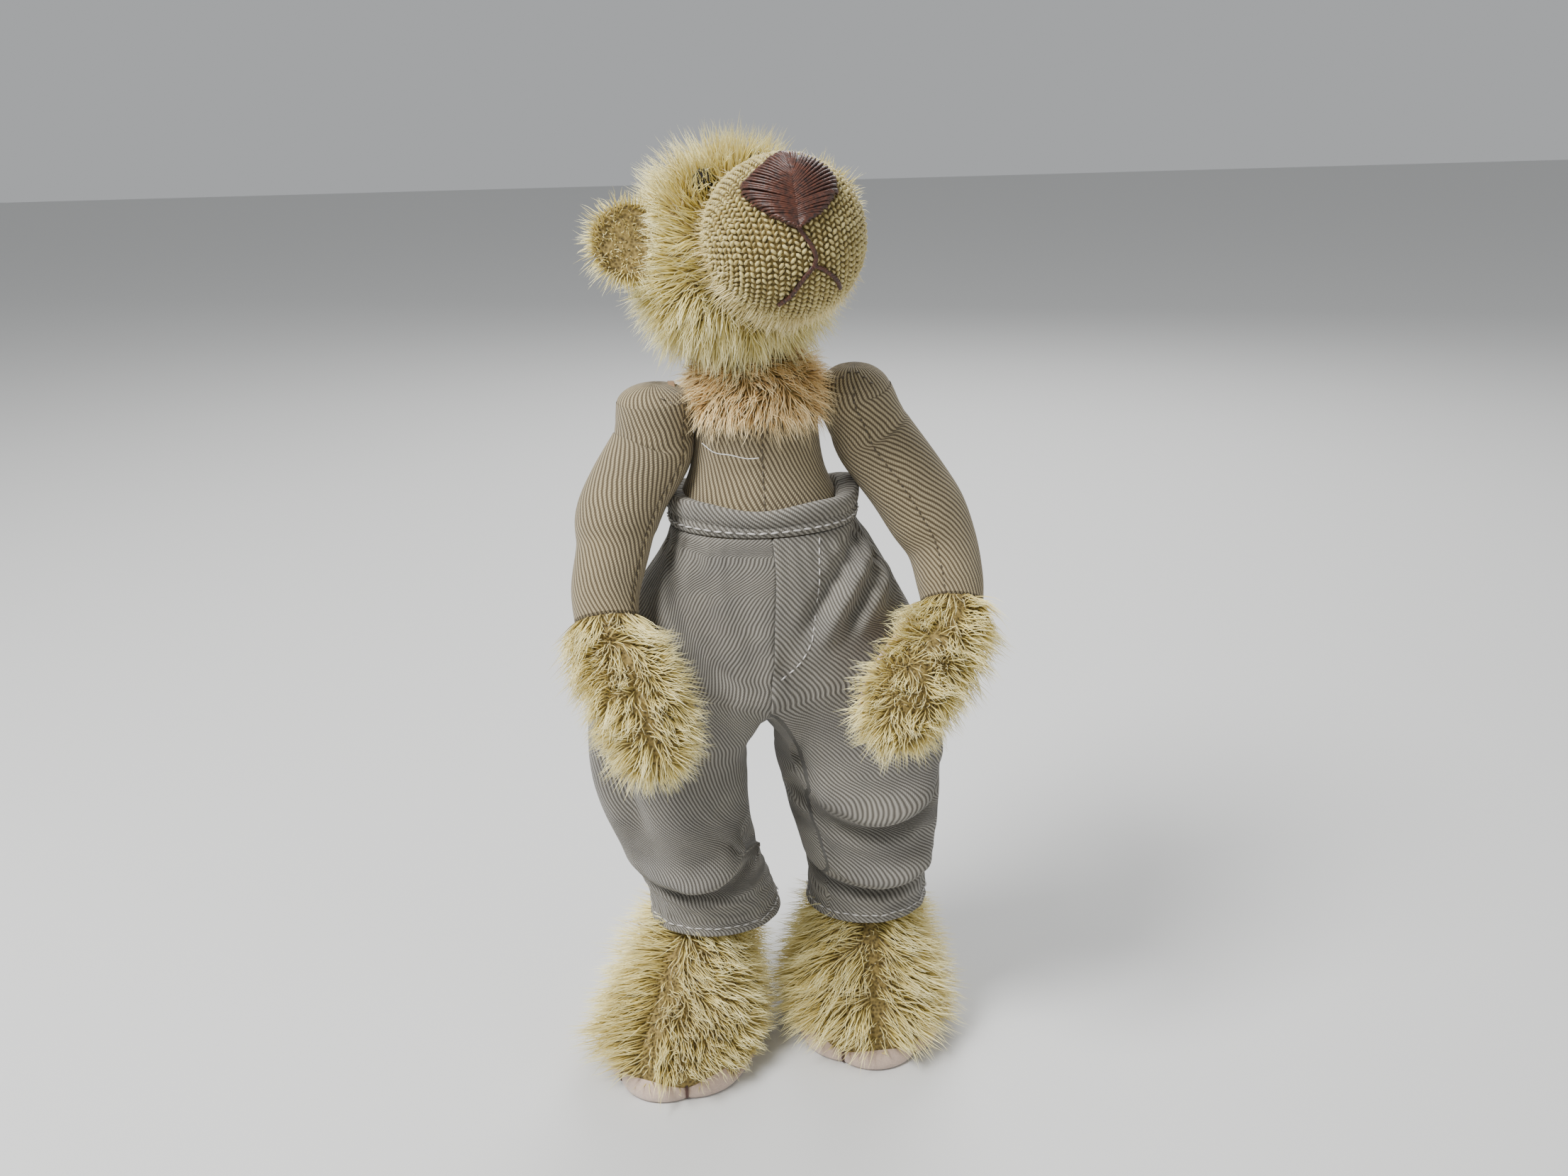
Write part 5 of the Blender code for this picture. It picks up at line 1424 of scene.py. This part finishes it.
flyLook = [(10.4, 117.8), (9.9, 108), (8.2, 98.5), (5.2, 93.4), (2.4, 91.3)]  # sideways and up
front = cloth[cloth[:, 1] < bodyMiddle[1] - 4 * mm]
flyLine = []
for x, z in smoothRows(flyLook, 60) * mm:
    away = (front[:, 0] - bodyMiddle[0] - x) ** 2 + (front[:, 2] - z) ** 2
    near = np.argsort(away)[:4]
    weight = 1 / (away[near] + 1e-9)
    depth = (front[near, 1] * weight).sum() / weight.sum()
    flyLine.append((bodyMiddle[0] + x, depth - 0.1 * mm, z))
sewn("fly_stitches", flyLine, {
    "Pitch": 1.9 * mm, "Stitch": 1.5 * mm, "Radius": 0.16 * mm, "Slant": 0.0, "Seed": 17,
    "Material": paleThread,
}, "torso", "grey_twill")
print("trousers done")

waistLow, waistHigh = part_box("waistband")
waistMiddle = (np.array(waistLow) + np.array(waistHigh)) / 2
waistWide, waistDeep = (waistHigh.x - waistLow.x) / 2, (waistHigh.y - waistLow.y) / 2
waistTall = waistHigh.z - waistLow.z
section = [  # how far in from the outside, and height share: a rolled top fold over a flat lower one
    (0.9, 0.0), (0.25, 0.0), (0.05, 0.06), (0.0, 0.2), (0.05, 0.34), (0.28, 0.40), (-0.1, 0.47),
    (-0.25, 0.6), (-0.28, 0.78),
    (-0.1, 0.92), (0.3, 1.0), (0.9, 1.02), (1.4, 0.96), (1.6, 0.8), (1.6, 0.4), (1.6, 0.05), (1.4, 0.0),
]
angle = np.linspace(0, 2 * math.pi, 240, endpoint=False)
sideness = np.abs(np.cos(angle)) ** 4
gather = 0.32 * sideness * np.sin(angle * 46) + 0.12 * np.sin(angle * 7 + 1)
bandRings = []
for inset, share in section:
    inner = np.clip(inset - 0.6, 0, 1) * 3.2 * sideness
    wide = (waistWide / mm + 0.4 - inset - inner + 0.5 * gather) * mm
    deep = (waistDeep / mm - inset + 0.5 * gather) * mm
    dip = 0.45 * np.sin(angle * 5 + 0.6) - 2.1 + 1.5 * sideness
    z = waistLow.z + share * waistTall + dip * mm * share
    bandRings.append(
        np.stack([waistMiddle[0] + wide * np.cos(angle), waistMiddle[1] + deep * np.sin(angle), z], 1)
    )
bandRings = np.array(bandRings + [bandRings[0]])
band = skinFromRings("waistband_cloth", bandRings, greyTwill, capped=False)
bm = bmesh.new()
bm.from_mesh(band.data)
bmesh.ops.remove_doubles(bm, verts=bm.verts, dist=1e-6)
bmesh.ops.recalc_face_normals(bm, faces=bm.faces)
bm.to_mesh(band.data)
bm.free()
worn(band, "torso", "grey_twill", "waistband")
stitchRow = bandRings[3] + unit((bandRings[3] - waistMiddle) * [1, 1, 0]) * 0.1 * mm
sewn("waistband_stitches", np.concatenate([stitchRow, stitchRow[:1]]), {
    "Pitch": 2.2 * mm, "Stitch": 1.75 * mm, "Radius": 0.2 * mm, "Slant": 0.0, "Seed": 15,
    "Material": paleThread,
}, "torso", "grey_twill")
print("waistband done")


floor = newObject("floor", [(-3, -3, 0), (3, -3, 0), (3, 3, 0), (-3, 3, 0)], [(0, 1, 2, 3)], smooth=False)
floorFinish, _, _ = principled("Floor", (0.62, 0.62, 0.61), 0.6)
floor.data.materials.append(floorFinish)

world = bpy.data.worlds.new("Room")
world.use_nodes = True
world.node_tree.nodes["Background"].inputs["Color"].default_value = (0.86, 0.88, 0.90, 1)
world.node_tree.nodes["Background"].inputs["Strength"].default_value = 0.5
bpy.context.scene.world = world


def areaLight(name, place, target, size, power):
    data = bpy.data.lights.new(name, "AREA")
    data.shape = "DISK"
    data.size = size
    data.energy = power
    obj = bpy.data.objects.new(name, data)
    obj.location = place
    obj.rotation_euler = (Vector(target) - Vector(place)).to_track_quat("-Z", "Y").to_euler()
    bpy.context.scene.collection.objects.link(obj)


lightLook = [
    ("Window", (-0.45, -0.25, 0.75), 0.32, 13.0),
    ("Fill", (0.7, -0.5, 0.45), 0.6, 1.6),
    ("Rim", (0.2, 0.6, 0.6), 0.5, 5.0),
]
for name, place, size, power in lightLook:
    areaLight(name, place, (0, 0, 0.1), size, power)

cameraLook = {"place": (-28.5, -272.0, 201.0), "yaw": -7.0, "pitch": 19.5, "roll": 1.13, "lens": 32.55}
yaw, pitch, roll = (math.radians(cameraLook[k]) for k in ("yaw", "pitch", "roll"))
ahead = Vector((-math.sin(yaw), math.cos(yaw), 0))
flatRight = Vector((math.cos(yaw), math.sin(yaw), 0))
forward = ahead * math.cos(pitch) - Vector((0, 0, 1)) * math.sin(pitch)
upward = ahead * math.sin(pitch) + Vector((0, 0, 1)) * math.cos(pitch)
right = flatRight * math.cos(roll) - upward * math.sin(roll)
upward = upward * math.cos(roll) + flatRight * math.sin(roll)
camera = bpy.data.objects.new("Camera", bpy.data.cameras.new("Camera"))
camera.data.lens = cameraLook["lens"]
camera.data.sensor_width = 36
camera.data.clip_start = 0.01
turned = Matrix((right, upward, -forward)).transposed().to_4x4()
turned.translation = Vector(bodyMiddle) + Vector(cameraLook["place"]) * mm
camera.matrix_world = turned
bpy.context.scene.collection.objects.link(camera)
bpy.context.scene.camera = camera
